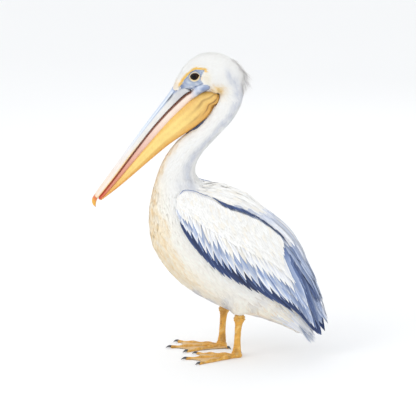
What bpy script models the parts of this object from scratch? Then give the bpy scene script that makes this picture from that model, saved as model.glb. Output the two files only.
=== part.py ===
"""A great white pelican standing at rest, life size, as a museum model.

The bird faces -Y, its left side is +X and the floor is z = 0.  Head, neck, trunk, wings,
tail, legs, feet and bill are separate closed solids that meet with a thin clearance.
All lengths are in metres.
"""

import math
from dataclasses import dataclass

import bmesh
import bpy
import numpy as np
from mathutils import Matrix, Vector

# ---------------------------------------------------------------- driving dimensions
GAP = 0.0003                  # clearance between neighbouring solids
SIDE_POINTS = 16              # points round a body section
SQUARENESS = 2.15             # 2 is an ellipse, more is boxier
SHARP_ANGLE = 50              # degrees, above which an edge is shaded sharp
MERGE = 0.00002               # points closer than this are one

BILL_LENGTH = 0.447           # feathering of the forehead to the tip of the nail
BILL_TABLE_LENGTH = 0.4525    # the same length as BILL_STATIONS and BILL_HOOK are written
BILL_ROOT = (-0.094, 0.812)   # (y, z) of the ridge where the forehead feathering ends
BILL_SLOPE = math.radians(54.5)
BILL_ROUNDNESS = 0.85         # 1 is an ellipse across the bill, less is boxier

EYE_RADIUS = 0.0125
EYE_PLACE = (0.0275, -0.029, 0.845)

CREST_CENTRE = (0.050, 0.838)  # (y, z) of the nape's curve
CREST_TIPS = 6
CREST_SPAN = (62, -38)         # degrees above the level, from the crown to the hind neck
CREST_REACH = 0.084            # from the centre to the longest tips
CREST_NOTCH = 0.011

LEG_SPACING = 0.116           # between the two tarsi
ANKLE_HEIGHT = 0.120
THIGH_LEAN = 0.03             # inwards, for each metre up
LEFT_HEEL_Y = 0.103
RIGHT_HEEL_Y = 0.042          # the right foot is stepped forward
FOOT_LENGTH = 0.158
LEFT_FOOT_TURN = math.radians(19.0)    # towards the bird's left
RIGHT_FOOT_TURN = math.radians(14.0)   # the right foot turns the same way, but less
TOE_RADIUS = 0.0072
WEB_THICKNESS = 0.0026
CLAW_LENGTH = 0.015

SCAPULAR_FEATHERS = 7
SCAPULAR_REACH = (7.45, 13.3)  # body stations between which the back feathers lie
SCAPULAR_GROOVE = math.radians(5.0)

TAIL_ROOT = (0.0, 0.281, 0.100)
TAIL_FEATHERS = 8
TAIL_LENGTH = 0.092
TAIL_FALL = 64                # degrees below the level at the root
TAIL_HALF_WIDTH = (0.022, 0.058)   # at the root and at the tips
TAIL_THICKNESS = 0.006

# Stations from the top of the neck to the end of the rump:
# y and z of the centre, depth towards the back, depth towards the belly, half width.
BODY_STATIONS = (
    (0.056, 0.842, 0.036, 0.034, 0.031),
    (0.078, 0.795, 0.037, 0.037, 0.031),
    (0.053, 0.733, 0.036, 0.037, 0.030),
    (0.001, 0.672, 0.034, 0.035, 0.031),
    (-0.050, 0.621, 0.041, 0.043, 0.037),
    (-0.079, 0.570, 0.051, 0.052, 0.047),
    (-0.087, 0.522, 0.069, 0.069, 0.065),
    (-0.072, 0.483, 0.067, 0.120, 0.088),
    (-0.040, 0.437, 0.114, 0.161, 0.108),
    (0.000, 0.385, 0.144, 0.177, 0.120),
    (0.055, 0.325, 0.151, 0.175, 0.122),
    (0.120, 0.262, 0.147, 0.149, 0.112),
    (0.180, 0.205, 0.115, 0.113, 0.092),
    (0.230, 0.160, 0.075, 0.075, 0.066),
    (0.270, 0.118, 0.045, 0.046, 0.043),
    (0.300, 0.083, 0.026, 0.027, 0.027),
)
NECK_CUTS = (0.2, 2.3, 4.1, 5.7)   # station numbers where the neck is parted
RUMP_CUT = 12.6
RUMP_END = 15.0

# The form that the folded wings lie on: the trunk, filled out over the rump and past it.
BED_FILL = (  # extra depth and extra half width over the trunk, from the breast station on
    (6, 0.000, 0.000),
    (8, 0.004, 0.002),
    (10, 0.011, 0.004),
    (11, 0.022, 0.008),
    (12, 0.038, 0.009),
    (13, 0.048, 0.010),
    (14, 0.052, 0.014),
    (15, 0.050, 0.018),
    (16, 0.046, 0.016),
    (17, 0.040, 0.010),
)
BED_TAIL = (  # two more stations past the rump, where only the wing tips reach
    (0.335, 0.044, 0.012, 0.012, 0.014),
    (0.372, 0.004, 0.004, 0.004, 0.006),
)

# Side view of the folded wing.  Each row joins a point of the upper edge to the point of
# the lower edge that the feathers below it reach: y, z above, y, z below.
WING_LINES = (
    (-0.070, 0.482, -0.072, 0.430),
    (-0.046, 0.507, -0.032, 0.372),
    (0.020, 0.494, 0.040, 0.294),
    (0.080, 0.470, 0.120, 0.245),
    (0.140, 0.448, 0.205, 0.197),
    (0.200, 0.414, 0.284, 0.150),
    (0.262, 0.356, 0.334, 0.092),
    (0.312, 0.270, 0.361, 0.078),
)


@dataclass(frozen=True)
class FeatherPlate:
    """One overlapping layer of a folded wing, ending in a row of feather tips."""

    name: str
    feathers: int
    rows: int
    front: float          # where along the wing the layer begins, 0 to 1
    rear: float           # and ends
    top: float            # where across the wing its roots lie, 0 above to 1 below
    tip_front: float      # how far across its tips reach at the front
    tip_rear: float       # and at the rear
    notch: float          # depth of the cut between two tips, across the wing
    under: tuple          # clearance below, at the roots and at the tips
    over: tuple           # height of the outer face at the roots, the middle and the tips
    colour: tuple


WING_PLATES = (
    FeatherPlate("primaries", 6, 4, 0.70, 1.00, 0.40, 1.00, 1.02, 0.10,
                 (0.001, 0.001), (0.0050, 0.0058, 0.0040), (0.08, 0.11, 0.19)),
    FeatherPlate("secondaries", 10, 4, 0.09, 0.86, 0.42, 0.94, 0.98, 0.055,
                 (0.0085, 0.0085), (0.0125, 0.0138, 0.0115), (0.11, 0.16, 0.27)),
    FeatherPlate("coverts", 11, 6, 0.00, 0.93, 0.00, 0.70, 0.86, 0.075,
                 (0.001, 0.0158), (0.010, 0.027, 0.0195), (0.90, 0.88, 0.83)),
)

WHITE = (0.90, 0.88, 0.84)
CREAM = (0.88, 0.80, 0.62)
SLATE = (0.42, 0.48, 0.58)
NAVY = (0.09, 0.13, 0.22)
ORANGE = (0.85, 0.52, 0.12)
YELLOW = (0.90, 0.68, 0.20)
PEACH = (0.86, 0.66, 0.52)
DARK = (0.04, 0.03, 0.03)


# ---------------------------------------------------------------- tools
def clear_scene():
    """Empty the file of everything that a new Blender starts with."""
    for old in list(bpy.data.objects):
        bpy.data.objects.remove(old, do_unlink=True)


def finish(colour, roughness):
    """A plain material of one colour."""
    name = "finish_%02d_%02d_%02d" % tuple(round(99 * part) for part in colour)
    found = bpy.data.materials.get(name)
    if found:
        return found
    material = bpy.data.materials.new(name)
    material.use_nodes = True
    shader = material.node_tree.nodes["Principled BSDF"]
    shader.inputs["Base Color"].default_value = (*colour, 1.0)
    shader.inputs["Roughness"].default_value = roughness
    shader.inputs["Metallic"].default_value = 0.0
    return material


def add_object(name, mesh, colour, roughness=0.8):
    """Put a finished mesh in the scene with its material."""
    made = bpy.data.objects.new(name, mesh)
    bpy.context.scene.collection.objects.link(made)
    mesh.materials.append(finish(colour, roughness))
    mesh.shade_smooth()
    mesh.set_sharp_from_angle(angle=math.radians(SHARP_ANGLE))
    return made


def mesh_from(name, points, faces):
    """A mesh of triangles, its doubled points merged and its faces turned outwards."""
    work = bmesh.new()
    corners = [work.verts.new(point) for point in points]
    for face in faces:
        work.faces.new([corners[index] for index in face])
    bmesh.ops.remove_doubles(work, verts=work.verts, dist=MERGE)
    bmesh.ops.dissolve_degenerate(work, edges=work.edges, dist=MERGE)
    bmesh.ops.triangulate(work, faces=work.faces)
    bmesh.ops.recalc_face_normals(work, faces=work.faces)
    mesh = bpy.data.meshes.new(name)
    work.to_mesh(mesh)
    work.free()
    return mesh


def ring_mesh(name, rings):
    """Skin a row of equal rings and close both ends."""
    count = len(rings[0])
    points = [point for ring in rings for point in ring]
    faces = [tuple(range(count))]
    for row in range(len(rings) - 1):
        for spot in range(count):
            here = row * count + spot
            beside = row * count + (spot + 1) % count
            faces.append((here, beside, beside + count, here + count))
    last = (len(rings) - 1) * count
    faces.append(tuple(range(last + count - 1, last - 1, -1)))
    return mesh_from(name, points, faces)


def along(rows, number):
    """Read a smooth curve through the rows of a table at a fractional row number."""
    table = np.asarray(rows, dtype=float)
    last = len(table) - 1
    number = min(max(number, 0.0), float(last))
    start = min(int(number), last - 1)
    part = number - start
    before = table[start - 1] if start > 0 else 2 * table[0] - table[1]
    after = table[start + 2] if start + 2 <= last else 2 * table[last] - table[last - 1]
    first, second = table[start], table[start + 1]
    slope_a = (second - before) / 2
    slope_b = (after - first) / 2
    square, cube = part * part, part ** 3
    return (
        (2 * cube - 3 * square + 1) * first
        + (cube - 2 * square + part) * slope_a
        + (3 * square - 2 * cube) * second
        + (cube - square) * slope_b
    )


def room_for(source, amount=1.25 * GAP):
    """A hidden copy of a solid, grown by the clearance, to cut its neighbours with."""
    name = "room_for_" + source.name
    work = bmesh.new()
    work.from_mesh(source.data)
    bmesh.ops.transform(work, matrix=source.matrix_world, verts=work.verts)
    work.normal_update()
    moves = [vert.normal.copy() * amount * vert.calc_shell_factor() for vert in work.verts]
    for vert, move in zip(work.verts, moves):
        vert.co += move
    mesh = bpy.data.meshes.new(name)
    work.to_mesh(mesh)
    work.free()
    cutter = bpy.data.objects.new(name, mesh)
    bpy.context.scene.collection.objects.link(cutter)
    cutter.hide_render = True
    cutter.display_type = "WIRE"
    return cutter


def settle(target):
    """Bake an object's modifiers into its mesh."""
    graph = bpy.context.evaluated_depsgraph_get()
    mesh = bpy.data.meshes.new_from_object(target.evaluated_get(graph))
    target.modifiers.clear()
    target.data = mesh


def combine(target, other, operation, solver="EXACT"):
    """Apply one boolean to a target."""
    step = target.modifiers.new(operation.lower(), "BOOLEAN")
    step.operation = operation
    step.solver = solver
    step.object = other
    settle(target)


def cut_back(target, *rooms, solver="EXACT"):
    """Cut a solid back from its neighbours' rooms."""
    for room in rooms:
        combine(target, room, "DIFFERENCE", solver)


def clear_rooms():
    """Take the hidden cutters out once everything is cut."""
    for thing in list(bpy.data.objects):
        if thing.name.startswith("room_for_"):
            bpy.data.objects.remove(thing, do_unlink=True)


# ---------------------------------------------------------------- body form
def bed_stations():
    """The body's stations with the extra depth and width that the wings lie on."""
    numbers = [row[0] for row in BED_FILL]
    rows = []
    for number, row in enumerate(BODY_STATIONS + BED_TAIL):
        deeper = float(np.interp(number, numbers, [fill[1] for fill in BED_FILL]))
        wider = float(np.interp(number, numbers, [fill[2] for fill in BED_FILL]))
        rows.append((row[0], row[1], row[2] + deeper, row[3], row[4] + wider))
    return tuple(rows)


def frame_at(stations, number):
    """Centre, direction towards the tail and direction towards the back at a station."""
    row = along(stations, number)
    step = 0.02
    ahead = along(stations, number + step)[:2] - along(stations, number - step)[:2]
    ahead = ahead / np.linalg.norm(ahead)
    back = np.array((-ahead[1], ahead[0]))
    return row, ahead, back


def section_point(stations, number, angle, side=1.0, lift=0.0):
    """A point of the body's surface.  Angle 0 is the back, pi / 2 the flank, pi the belly."""
    row, _, back = frame_at(stations, number)
    across = abs(math.sin(angle)) ** (2 / SQUARENESS)
    upward = abs(math.cos(angle)) ** (2 / SQUARENESS)
    depth = row[2] + lift if math.cos(angle) > 0 else -(row[3] + lift)
    place = row[:2] + back * depth * upward
    out = side * (row[4] + lift) * across * (1 if math.sin(angle) >= 0 else -1)
    return Vector((out, place[0], place[1]))


def body_length(name, first, last, rows, colour):
    """One length of the neck or trunk between two station numbers."""
    rings = []
    for row in range(rows + 1):
        number = first + (last - first) * row / rows
        turn = [2 * math.pi * spot / SIDE_POINTS for spot in range(SIDE_POINTS)]
        rings.append([section_point(BODY_STATIONS, number, angle) for angle in turn])
    return add_object(name, ring_mesh(name, rings), colour)


def station_gap(number):
    """Half of the clearance as a fraction of a station step."""
    near = along(BODY_STATIONS, number - 0.5)[:2]
    far = along(BODY_STATIONS, number + 0.5)[:2]
    return 0.75 * GAP / float(np.linalg.norm(far - near))


def make_body():
    """The neck in three lengths, the trunk and the rump."""
    a, b, c, d = NECK_CUTS
    parts = [
        ("neck_upper", a, b - station_gap(b), 7, WHITE),
        ("neck_middle", b + station_gap(b), c - station_gap(c), 5, WHITE),
        ("neck_lower", c + station_gap(c), d - station_gap(d), 4, CREAM),
        ("trunk", d + station_gap(d), RUMP_CUT - station_gap(RUMP_CUT), 13, CREAM),
        ("rump", RUMP_CUT + station_gap(RUMP_CUT), RUMP_END, 5, WHITE),
    ]
    return {name: body_length(name, *sizes) for name, *sizes in parts}


# ---------------------------------------------------------------- bill
def bill_point(distance, below, across):
    """Bill coordinates: distance from its root, depth below the ridge, offset to the side."""
    distance *= BILL_LENGTH / BILL_TABLE_LENGTH
    ahead = (-math.cos(BILL_SLOPE), -math.sin(BILL_SLOPE))
    down = (math.sin(BILL_SLOPE), -math.cos(BILL_SLOPE))
    y = BILL_ROOT[0] + ahead[0] * distance + down[0] * below
    z = BILL_ROOT[1] + ahead[1] * distance + down[1] * below
    return Vector((across, y, z))


def bill_ring(distance, top, bottom, half, crown, points=14):
    """A ring across the bill: an arched upper side and a flatter lower side."""
    ring = []
    middle = bottom - (bottom - top) * crown
    for spot in range(points):
        angle = 2 * math.pi * spot / points
        sine, cosine = math.sin(angle), math.cos(angle)
        across = half * math.copysign(abs(sine) ** BILL_ROUNDNESS, sine)
        rise = (middle - top) if cosine > 0 else (bottom - middle)
        below = middle - rise * math.copysign(abs(cosine) ** BILL_ROUNDNESS, cosine)
        ring.append(bill_point(distance, below, across))
    return ring


# Distance from the root, ridge, mouth, lower edge of the jaw, lowest of the pouch, and
# the half widths of the upper bill, the jaw and the pouch.
BILL_STATIONS = (
    (-0.020, 0.006, 0.052, 0.076, 0.130, 0.0300, 0.0350, 0.030),
    (0.000, 0.000, 0.044, 0.070, 0.136, 0.0290, 0.0340, 0.036),
    (0.040, 0.001, 0.036, 0.064, 0.132, 0.0265, 0.0310, 0.039),
    (0.090, 0.000, 0.029, 0.057, 0.115, 0.0235, 0.0275, 0.036),
    (0.160, -0.001, 0.0235, 0.050, 0.091, 0.0200, 0.0240, 0.029),
    (0.250, -0.001, 0.0215, 0.042, 0.070, 0.0175, 0.0205, 0.022),
    (0.340, 0.000, 0.0205, 0.0345, 0.050, 0.0175, 0.0185, 0.0165),
    (0.400, 0.000, 0.0180, 0.029, 0.0345, 0.0165, 0.0155, 0.0115),
    (0.424, 0.001, 0.0160, 0.0245, 0.0275, 0.0130, 0.0120, 0.0080),
)

# Behind the gape and at the tip: distance from the root, upper side, lower side and half
# width of each ring, in order away from BILL_STATIONS.
JAW_REAR = ((-0.040, 0.066, 0.087, 0.0360), (-0.062, 0.082, 0.101, 0.0355),
            (-0.074, 0.094, 0.104, 0.0330))
POUCH_REAR = ((-0.036, 0.076, 0.137, 0.027), (-0.050, 0.090, 0.132, 0.020),
              (-0.058, 0.104, 0.124, 0.011))
BILL_HOOK = ((0.4245, 0.001, 0.0150, 0.0120), (0.434, 0.001, 0.0165, 0.0105),
             (0.443, 0.005, 0.0200, 0.0085), (0.450, 0.012, 0.0240, 0.0058),
             (BILL_TABLE_LENGTH, 0.019, 0.0265, 0.0024))


def make_bill():
    """The upper bill, its nail, the lower jaw and the pouch."""
    last = len(BILL_STATIONS) - 1
    numbers = [last * row / 10 for row in range(11)]
    upper, jaw, pouch = [], [], []
    for number in numbers:
        at, ridge, mouth, edge, lowest, half, half_jaw, half_pouch = along(BILL_STATIONS, number)
        upper.append(bill_ring(at, ridge, mouth - GAP, half, 0.18))
        jaw.append(bill_ring(at, mouth + GAP, edge, half_jaw, 0.55))
        tuck = min(0.014, 0.5 * (edge - mouth))
        pouch.append(bill_ring(at, edge - tuck, lowest, half_pouch, 0.42))
    upper_bill = add_object("bill_upper", ring_mesh("bill_upper", upper), PEACH, 0.45)

    # The jaw runs on behind the gape, up under the eye, and ends round.
    for at, top, bottom, half in JAW_REAR:
        jaw.insert(0, bill_ring(at, top, bottom, half, 0.55))
    lower_bill = add_object("bill_lower", ring_mesh("bill_lower", jaw), PEACH, 0.45)

    # The pouch fills out behind the gape against the throat.
    for at, top, bottom, half in POUCH_REAR:
        pouch.insert(0, bill_ring(at, top, bottom, half, 0.5))
    sac = add_object("pouch", ring_mesh("pouch", pouch), YELLOW, 0.5)
    rooms = [room_for(upper_bill), room_for(lower_bill), room_for(sac)]
    cut_back(sac, rooms[1])

    nail = []
    for at, ridge, mouth, half in BILL_HOOK:
        nail.append(bill_ring(at, ridge, mouth, half, 0.3, 12))
    tip = add_object("bill_nail", ring_mesh("bill_nail", nail), ORANGE, 0.4)
    cut_back(tip, rooms[1])
    return rooms


# ---------------------------------------------------------------- head
# Stations from the bill to the nape: y, z of the centre, height above, depth below and
# half width, on sections that stay square to the head's own axis.
HEAD_STATIONS = (
    (-0.099, 0.795, 0.014, 0.012, 0.018),
    (-0.086, 0.806, 0.033, 0.030, 0.0295),
    (-0.066, 0.820, 0.051, 0.038, 0.0350),
    (-0.038, 0.836, 0.063, 0.043, 0.0385),
    (-0.006, 0.846, 0.067, 0.047, 0.0410),
    (0.028, 0.849, 0.066, 0.052, 0.0420),
    (0.058, 0.848, 0.059, 0.054, 0.0395),
    (0.084, 0.845, 0.047, 0.052, 0.0345),
    (0.103, 0.842, 0.032, 0.044, 0.0270),
    (0.114, 0.840, 0.016, 0.026, 0.0140),
)


def make_head(bill_rooms):
    """The feathered head, cut back from the bill, and the room that it takes up."""
    rings = []
    for row in range(11):
        number = (len(HEAD_STATIONS) - 1) * row / 10
        y, z, above, below, half = along(HEAD_STATIONS, number)
        ring = []
        for spot in range(SIDE_POINTS):
            angle = 2 * math.pi * spot / SIDE_POINTS
            height = above if math.cos(angle) > 0 else below
            ring.append(Vector((half * math.sin(angle), y, z + height * math.cos(angle))))
        rings.append(ring)
    head = add_object("head", ring_mesh("head", rings), WHITE)
    head_room = room_for(head)
    cut_back(head, *bill_rooms, solver="MANIFOLD")
    return head, head_room


def make_eyes(head):
    """Two eyeballs, each most of the way into its socket."""
    for name, side in (("eye_left", 1), ("eye_right", -1)):
        work = bmesh.new()
        place = Matrix.Translation((side * EYE_PLACE[0], EYE_PLACE[1], EYE_PLACE[2]))
        turn = Matrix.Rotation(math.pi / 2, 4, "Y")
        bmesh.ops.create_uvsphere(work, u_segments=10, v_segments=7, radius=EYE_RADIUS,
                                  matrix=place @ turn)
        mesh = bpy.data.meshes.new(name)
        work.to_mesh(mesh)
        work.free()
        eye = add_object(name, mesh, DARK, 0.1)
        cut_back(head, room_for(eye))


def make_crest(*rooms):
    """The loose crest of the nape, in one solid with a ragged rear edge."""
    start, end = map(math.radians, CREST_SPAN)
    centre = Vector((0.0, *CREST_CENTRE))
    rings = []
    for row in range(2 * CREST_TIPS + 1):
        part = row / (2 * CREST_TIPS)
        angle = start + (end - start) * part
        reach = CREST_REACH - 0.020 * abs(part - 0.45)
        if row % 2:
            reach += CREST_NOTCH
        half = 0.020 * math.sin(math.pi * min(max(part, 0.07), 0.93)) + 0.002
        ahead = Vector((0.0, math.cos(angle), math.sin(angle)))
        tip_way = Vector((0.0, math.cos(angle - 0.5), math.sin(angle - 0.5)))
        inner = centre + ahead * 0.045
        outer = centre + ahead * 0.062 + tip_way * (reach - 0.062)
        shoulder = inner.lerp(outer, 0.6)
        wide = Vector((half, 0.0, 0.0))
        edge = Vector((0.0015, 0.0, 0.0))
        rings.append([inner + wide, shoulder + wide * 0.7, outer + edge,
                      outer - edge, shoulder - wide * 0.7, inner - wide])
    crest = add_object("crest", ring_mesh("crest", rings), WHITE)
    cut_back(crest, *rooms)


# ---------------------------------------------------------------- wings
class WingBed:
    """Turns places in the side view of the folded wing into points on its form."""

    def __init__(self):
        """Sample the form's axis once."""
        self.stations = bed_stations()
        self.numbers = np.linspace(5.5, len(self.stations) - 1.001, 260)
        frames = [frame_at(self.stations, number) for number in self.numbers]
        self.centres = np.array([row[:2] for row, _, _ in frames])
        self.ahead = np.array([ahead for _, ahead, _ in frames])

    def settle(self, y, z, lift):
        """Station number and angle of the surface point seen at (y, z) from the side."""
        gaps = np.array((y, z)) - self.centres
        offsets = np.abs((gaps * self.ahead).sum(1)) + 0.05 * np.linalg.norm(gaps, axis=1)
        number = self.numbers[int(np.argmin(offsets))]
        row, _, back = frame_at(self.stations, number)
        height = float((np.array((y, z)) - row[:2]) @ back)
        depth = row[2] + lift if height > 0 else row[3] + lift
        share = min(abs(height) / depth, 0.995) ** (SQUARENESS / 2)
        angle = math.acos(share)
        return number, angle if height > 0 else math.pi - angle

    def point(self, along_wing, across, lift, side, nominal=0.02):
        """A point of the wing, a lift above the form."""
        row = along(WING_LINES, along_wing * (len(WING_LINES) - 1))
        y = row[0] + (row[2] - row[0]) * across
        z = row[1] + (row[3] - row[1]) * across
        number, angle = self.settle(y, z, nominal)
        return section_point(self.stations, number, angle, side, lift)


def plate_faces(columns, rows):
    """Faces of a closed plate whose outer grid comes first and its inner grid second."""
    def outer(column, row):
        return column * rows + row

    def inner(column, row):
        return columns * rows + column * rows + row

    faces = []
    for column in range(columns - 1):
        for row in range(rows - 1):
            here, right = (column, row), (column + 1, row)
            across, down = (column + 1, row + 1), (column, row + 1)
            faces.append([outer(*spot) for spot in (here, right, across, down)])
            faces.append([inner(*spot) for spot in (down, across, right, here)])
        for row in (0, rows - 1):
            faces.append([outer(column, row), outer(column + 1, row),
                          inner(column + 1, row), inner(column, row)])
    for column in (0, columns - 1):
        for row in range(rows - 1):
            faces.append([outer(column, row), outer(column, row + 1),
                          inner(column, row + 1), inner(column, row)])
    return faces


def bend(values, part):
    """Read three values at the start, middle and end of a smooth rise and fall."""
    first, middle, last = values
    early, late = (1 - part) ** 2, part ** 2
    pull = (4 * middle - first - last) / 2
    return early * first + 2 * part * (1 - part) * pull + late * last


def make_wing_plate(bed, plate, side_name, side):
    """One layer of a folded wing: a curved plate whose far edge is a row of tips."""
    columns = 2 * plate.feathers + 1
    outer, inner = [], []
    for column in range(columns):
        part = column / (columns - 1)
        place = plate.front + (plate.rear - plate.front) * part
        end = plate.tip_front + (plate.tip_rear - plate.tip_front) * part
        if column % 2 == 0:
            end -= plate.notch
        for row in range(plate.rows):
            down = row / (plate.rows - 1)
            across = plate.top + (end - plate.top) * down
            close = min(1.0, place / 0.085)  # the leading edge lies close to the breast
            top_lift = bend(plate.over, down) * (0.45 + 0.55 * close)
            rise = min(1.0, down * 2.2) * close
            floor_lift = plate.under[0] + (plate.under[1] - plate.under[0]) * rise
            floor_lift = min(floor_lift, top_lift - 0.003)
            outer.append(bed.point(place, across, top_lift, side))
            inner.append(bed.point(place, across, floor_lift, side))
    name = "wing_%s_%s" % (side_name, plate.name)
    mesh = mesh_from(name, outer + inner, plate_faces(columns, plate.rows))
    return add_object(name, mesh, plate.colour)


def make_scapulars(bed, body_rooms):
    """The shield of back feathers between the two wings, one solid down to the trunk."""
    samples = [i / 40 for i in range(41)]
    edges = []
    for sample in samples:
        row = along(WING_LINES, sample * (len(WING_LINES) - 1))
        edges.append(bed.settle(row[0], row[1], 0.01))
    numbers = [number for number, _ in edges]
    angles = [angle for _, angle in edges]
    columns, rows = 2 * SCAPULAR_FEATHERS + 1, 8
    outer, inner = [], []
    for column in range(columns):
        spread = 2 * column / (columns - 1) - 1
        end = SCAPULAR_REACH[1] - 0.9 * spread * spread
        if column % 2 == 0:
            end -= 0.30
        for row in range(rows):
            part = row / (rows - 1)
            number = SCAPULAR_REACH[0] + (end - SCAPULAR_REACH[0]) * part
            width = float(np.interp(number, numbers, angles)) - SCAPULAR_GROOVE
            angle = width * spread
            lift = 0.003 + 0.009 * math.sin(math.pi * min(part + 0.05, 1.0))
            lift -= 0.004 * spread * spread
            top = section_point(bed.stations, number, angle, 1, max(lift, 0.0025))
            low = section_point(BODY_STATIONS, min(number, RUMP_END), angle, 1, -0.004)
            outer.append(top)
            inner.append(low.lerp(top, 0.55 * max(0.0, part - 0.45) / 0.55))
    mesh = mesh_from("scapulars", outer + inner, plate_faces(columns, rows))
    cut_back(add_object("scapulars", mesh, WHITE), *body_rooms)


def make_wings(body_rooms):
    """Both folded wings, each in its layers."""
    bed = WingBed()
    make_scapulars(bed, body_rooms)
    for side_name, side in (("left", 1), ("right", -1)):
        for plate in WING_PLATES:
            make_wing_plate(bed, plate, side_name, side)


# ---------------------------------------------------------------- tail
def make_tail(rump_room):
    """The short tail: a shallow fan of broad feathers, arched over from side to side."""
    root = Vector(TAIL_ROOT)
    fall = math.radians(TAIL_FALL)
    narrow, wide = TAIL_HALF_WIDTH
    columns, rows = 2 * TAIL_FEATHERS + 1, 3
    outer, inner = [], []
    for column in range(columns):
        spread = 2 * column / (columns - 1) - 1
        length = TAIL_LENGTH * (1 - 0.16 * spread * spread)
        if column % 2 == 0:
            length -= 0.007
        for row in range(rows):
            part = row / (rows - 1)
            drop = fall - math.radians(8) * part
            x = spread * (narrow + (wide - narrow) * part)
            y = root.y + length * part * math.cos(drop)
            z = root.z - length * part * math.sin(drop) - 0.012 * spread * spread * part
            thick = TAIL_THICKNESS * (1 - 0.6 * part)
            outer.append(Vector((x, y + thick, z)))
            inner.append(Vector((x, y, z - thick * 0.4)))
    mesh = mesh_from("tail", outer + inner, plate_faces(columns, rows))
    cut_back(add_object("tail", mesh, SLATE), rump_room)


# ---------------------------------------------------------------- legs and feet
# Height, offset from the heel, half width and half depth of each level ring.
THIGH_LEVELS = ((0.250, -0.016, 0.039, 0.066), (0.215, -0.016, 0.042, 0.062),
                (0.185, -0.011, 0.039, 0.051), (0.160, -0.003, 0.032, 0.038),
                (0.143, 0.004, 0.0240, 0.0265), (0.1315, 0.006, 0.0155, 0.0165))
TARSUS_LEVELS = ((0.1310, 0.006, 0.0115, 0.0125), (0.125, 0.006, 0.0135, 0.0155),
                 (0.117, 0.006, 0.0140, 0.0165), (0.106, 0.004, 0.0105, 0.0125),
                 (0.088, 0.002, 0.0082, 0.0100), (0.060, 0.000, 0.0078, 0.0096),
                 (0.036, -0.001, 0.0085, 0.0105), (0.024, -0.002, 0.0100, 0.0125),
                 (0.0165, -0.003, 0.0105, 0.0130))


def limb_ring(centre, half_side, half_front, points=10):
    """A level ring round a leg."""
    ring = []
    for spot in range(points):
        angle = 2 * math.pi * spot / points
        ring.append(centre + Vector((half_side * math.sin(angle),
                                     half_front * math.cos(angle), 0.0)))
    return ring


def make_thigh(name, side, heel_y, body_rooms):
    """The feathered lower thigh that comes out of the belly."""
    x = side * LEG_SPACING / 2
    rings = []
    for z, offset, half_side, half_front in THIGH_LEVELS:
        lean = THIGH_LEAN * (z - ANKLE_HEIGHT)
        centre = Vector((x - side * lean, heel_y + offset, z))
        rings.append(limb_ring(centre, half_side, half_front, 12))
    thigh = add_object(name, ring_mesh(name, rings), CREAM)
    cut_back(thigh, *body_rooms)


def make_tarsus(name, side, heel_y):
    """The bare leg, from the knobbly ankle down to the foot."""
    x = side * LEG_SPACING / 2
    rings = [limb_ring(Vector((x, heel_y + offset, z)), half_side, half_front)
             for z, offset, half_side, half_front in TARSUS_LEVELS]
    return add_object(name, ring_mesh(name, rings), ORANGE, 0.5)


@dataclass(frozen=True)
class Toe:
    """One toe: how far it reaches forwards and outwards from the heel, and its girth."""

    name: str
    forward: float
    outward: float
    girth: float


TOES = (
    Toe("inner", 0.715, -0.350, 0.92),
    Toe("middle", 0.990, 0.000, 1.00),
    Toe("outer", 0.810, 0.400, 0.95),
    Toe("hind", -0.090, -0.180, 0.74),
)


def foot_place(side, heel_y, forward, outward, height):
    """A point of a foot from its own forward and outward distances."""
    turn = LEFT_FOOT_TURN if side > 0 else RIGHT_FOOT_TURN
    y = -forward
    x = outward * side
    turned = Vector((x * math.cos(turn) - y * math.sin(turn),
                     x * math.sin(turn) + y * math.cos(turn), height))
    return turned + Vector((side * LEG_SPACING / 2, heel_y, 0.0))


def toe_solid(name, side, heel_y, toe):
    """A toe with a flat sole, thick at its joints and thinner towards its claw."""
    reach_forward = toe.forward * FOOT_LENGTH
    reach_outward = toe.outward * FOOT_LENGTH
    length = math.hypot(reach_forward, reach_outward)
    square = Vector((-reach_outward, reach_forward)) / length
    start = 0.004 / length
    rings = []
    steps = 5
    for step in range(steps + 1):
        part = start + (1 - start) * step / steps
        swell = 0.10 * math.cos(2 * math.pi * 3 * part) if toe.name != "hind" else 0.0
        radius = TOE_RADIUS * toe.girth * (1.12 - 0.50 * part + swell)
        if step == steps:
            radius *= 0.86
        ring = []
        for spot in range(7):
            angle = 2 * math.pi * spot / 7
            off = radius * math.sin(angle)
            height = max(radius * 0.92 * (1 + math.cos(angle)) - 0.15 * radius, 0.0)
            forward = reach_forward * part + square[0] * off
            outward = reach_outward * part + square[1] * off
            ring.append(foot_place(side, heel_y, forward, outward, height))
        rings.append(ring)
    return add_object(name, ring_mesh(name, rings), ORANGE, 0.5)


def web_solid(name, side, heel_y):
    """The webs between the four toes, one thin plate with hollow free edges."""
    order = [TOES[3], TOES[0], TOES[1], TOES[2]]
    outline = [(-0.030, 0.020), (-0.045, -0.050)]
    for first, second in zip(order, order[1:]):
        for step in range(4):
            part = step / 4
            forward = first.forward + (second.forward - first.forward) * part
            outward = first.outward + (second.outward - first.outward) * part
            hollow = 0.090 * math.sin(math.pi * part)
            size = math.hypot(forward, outward)
            outline.append((forward * (0.965 - hollow / size), outward * (0.965 - hollow / size)))
    outline.append((TOES[2].forward * 0.965, TOES[2].outward * 0.965))
    outline.append((0.20, 0.115))
    outline.append((0.02, 0.060))
    count = len(outline)
    points = []
    for height in (0.0006, 0.0006 + WEB_THICKNESS):
        for forward, outward in outline:
            points.append(foot_place(side, heel_y, forward * FOOT_LENGTH,
                                     outward * FOOT_LENGTH, height))
    faces = [tuple(range(count)), tuple(range(2 * count - 1, count - 1, -1))]
    for spot in range(count):
        beside = (spot + 1) % count
        faces.append((spot, beside, beside + count, spot + count))
    return add_object(name, mesh_from(name, points, faces), ORANGE, 0.5)


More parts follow.
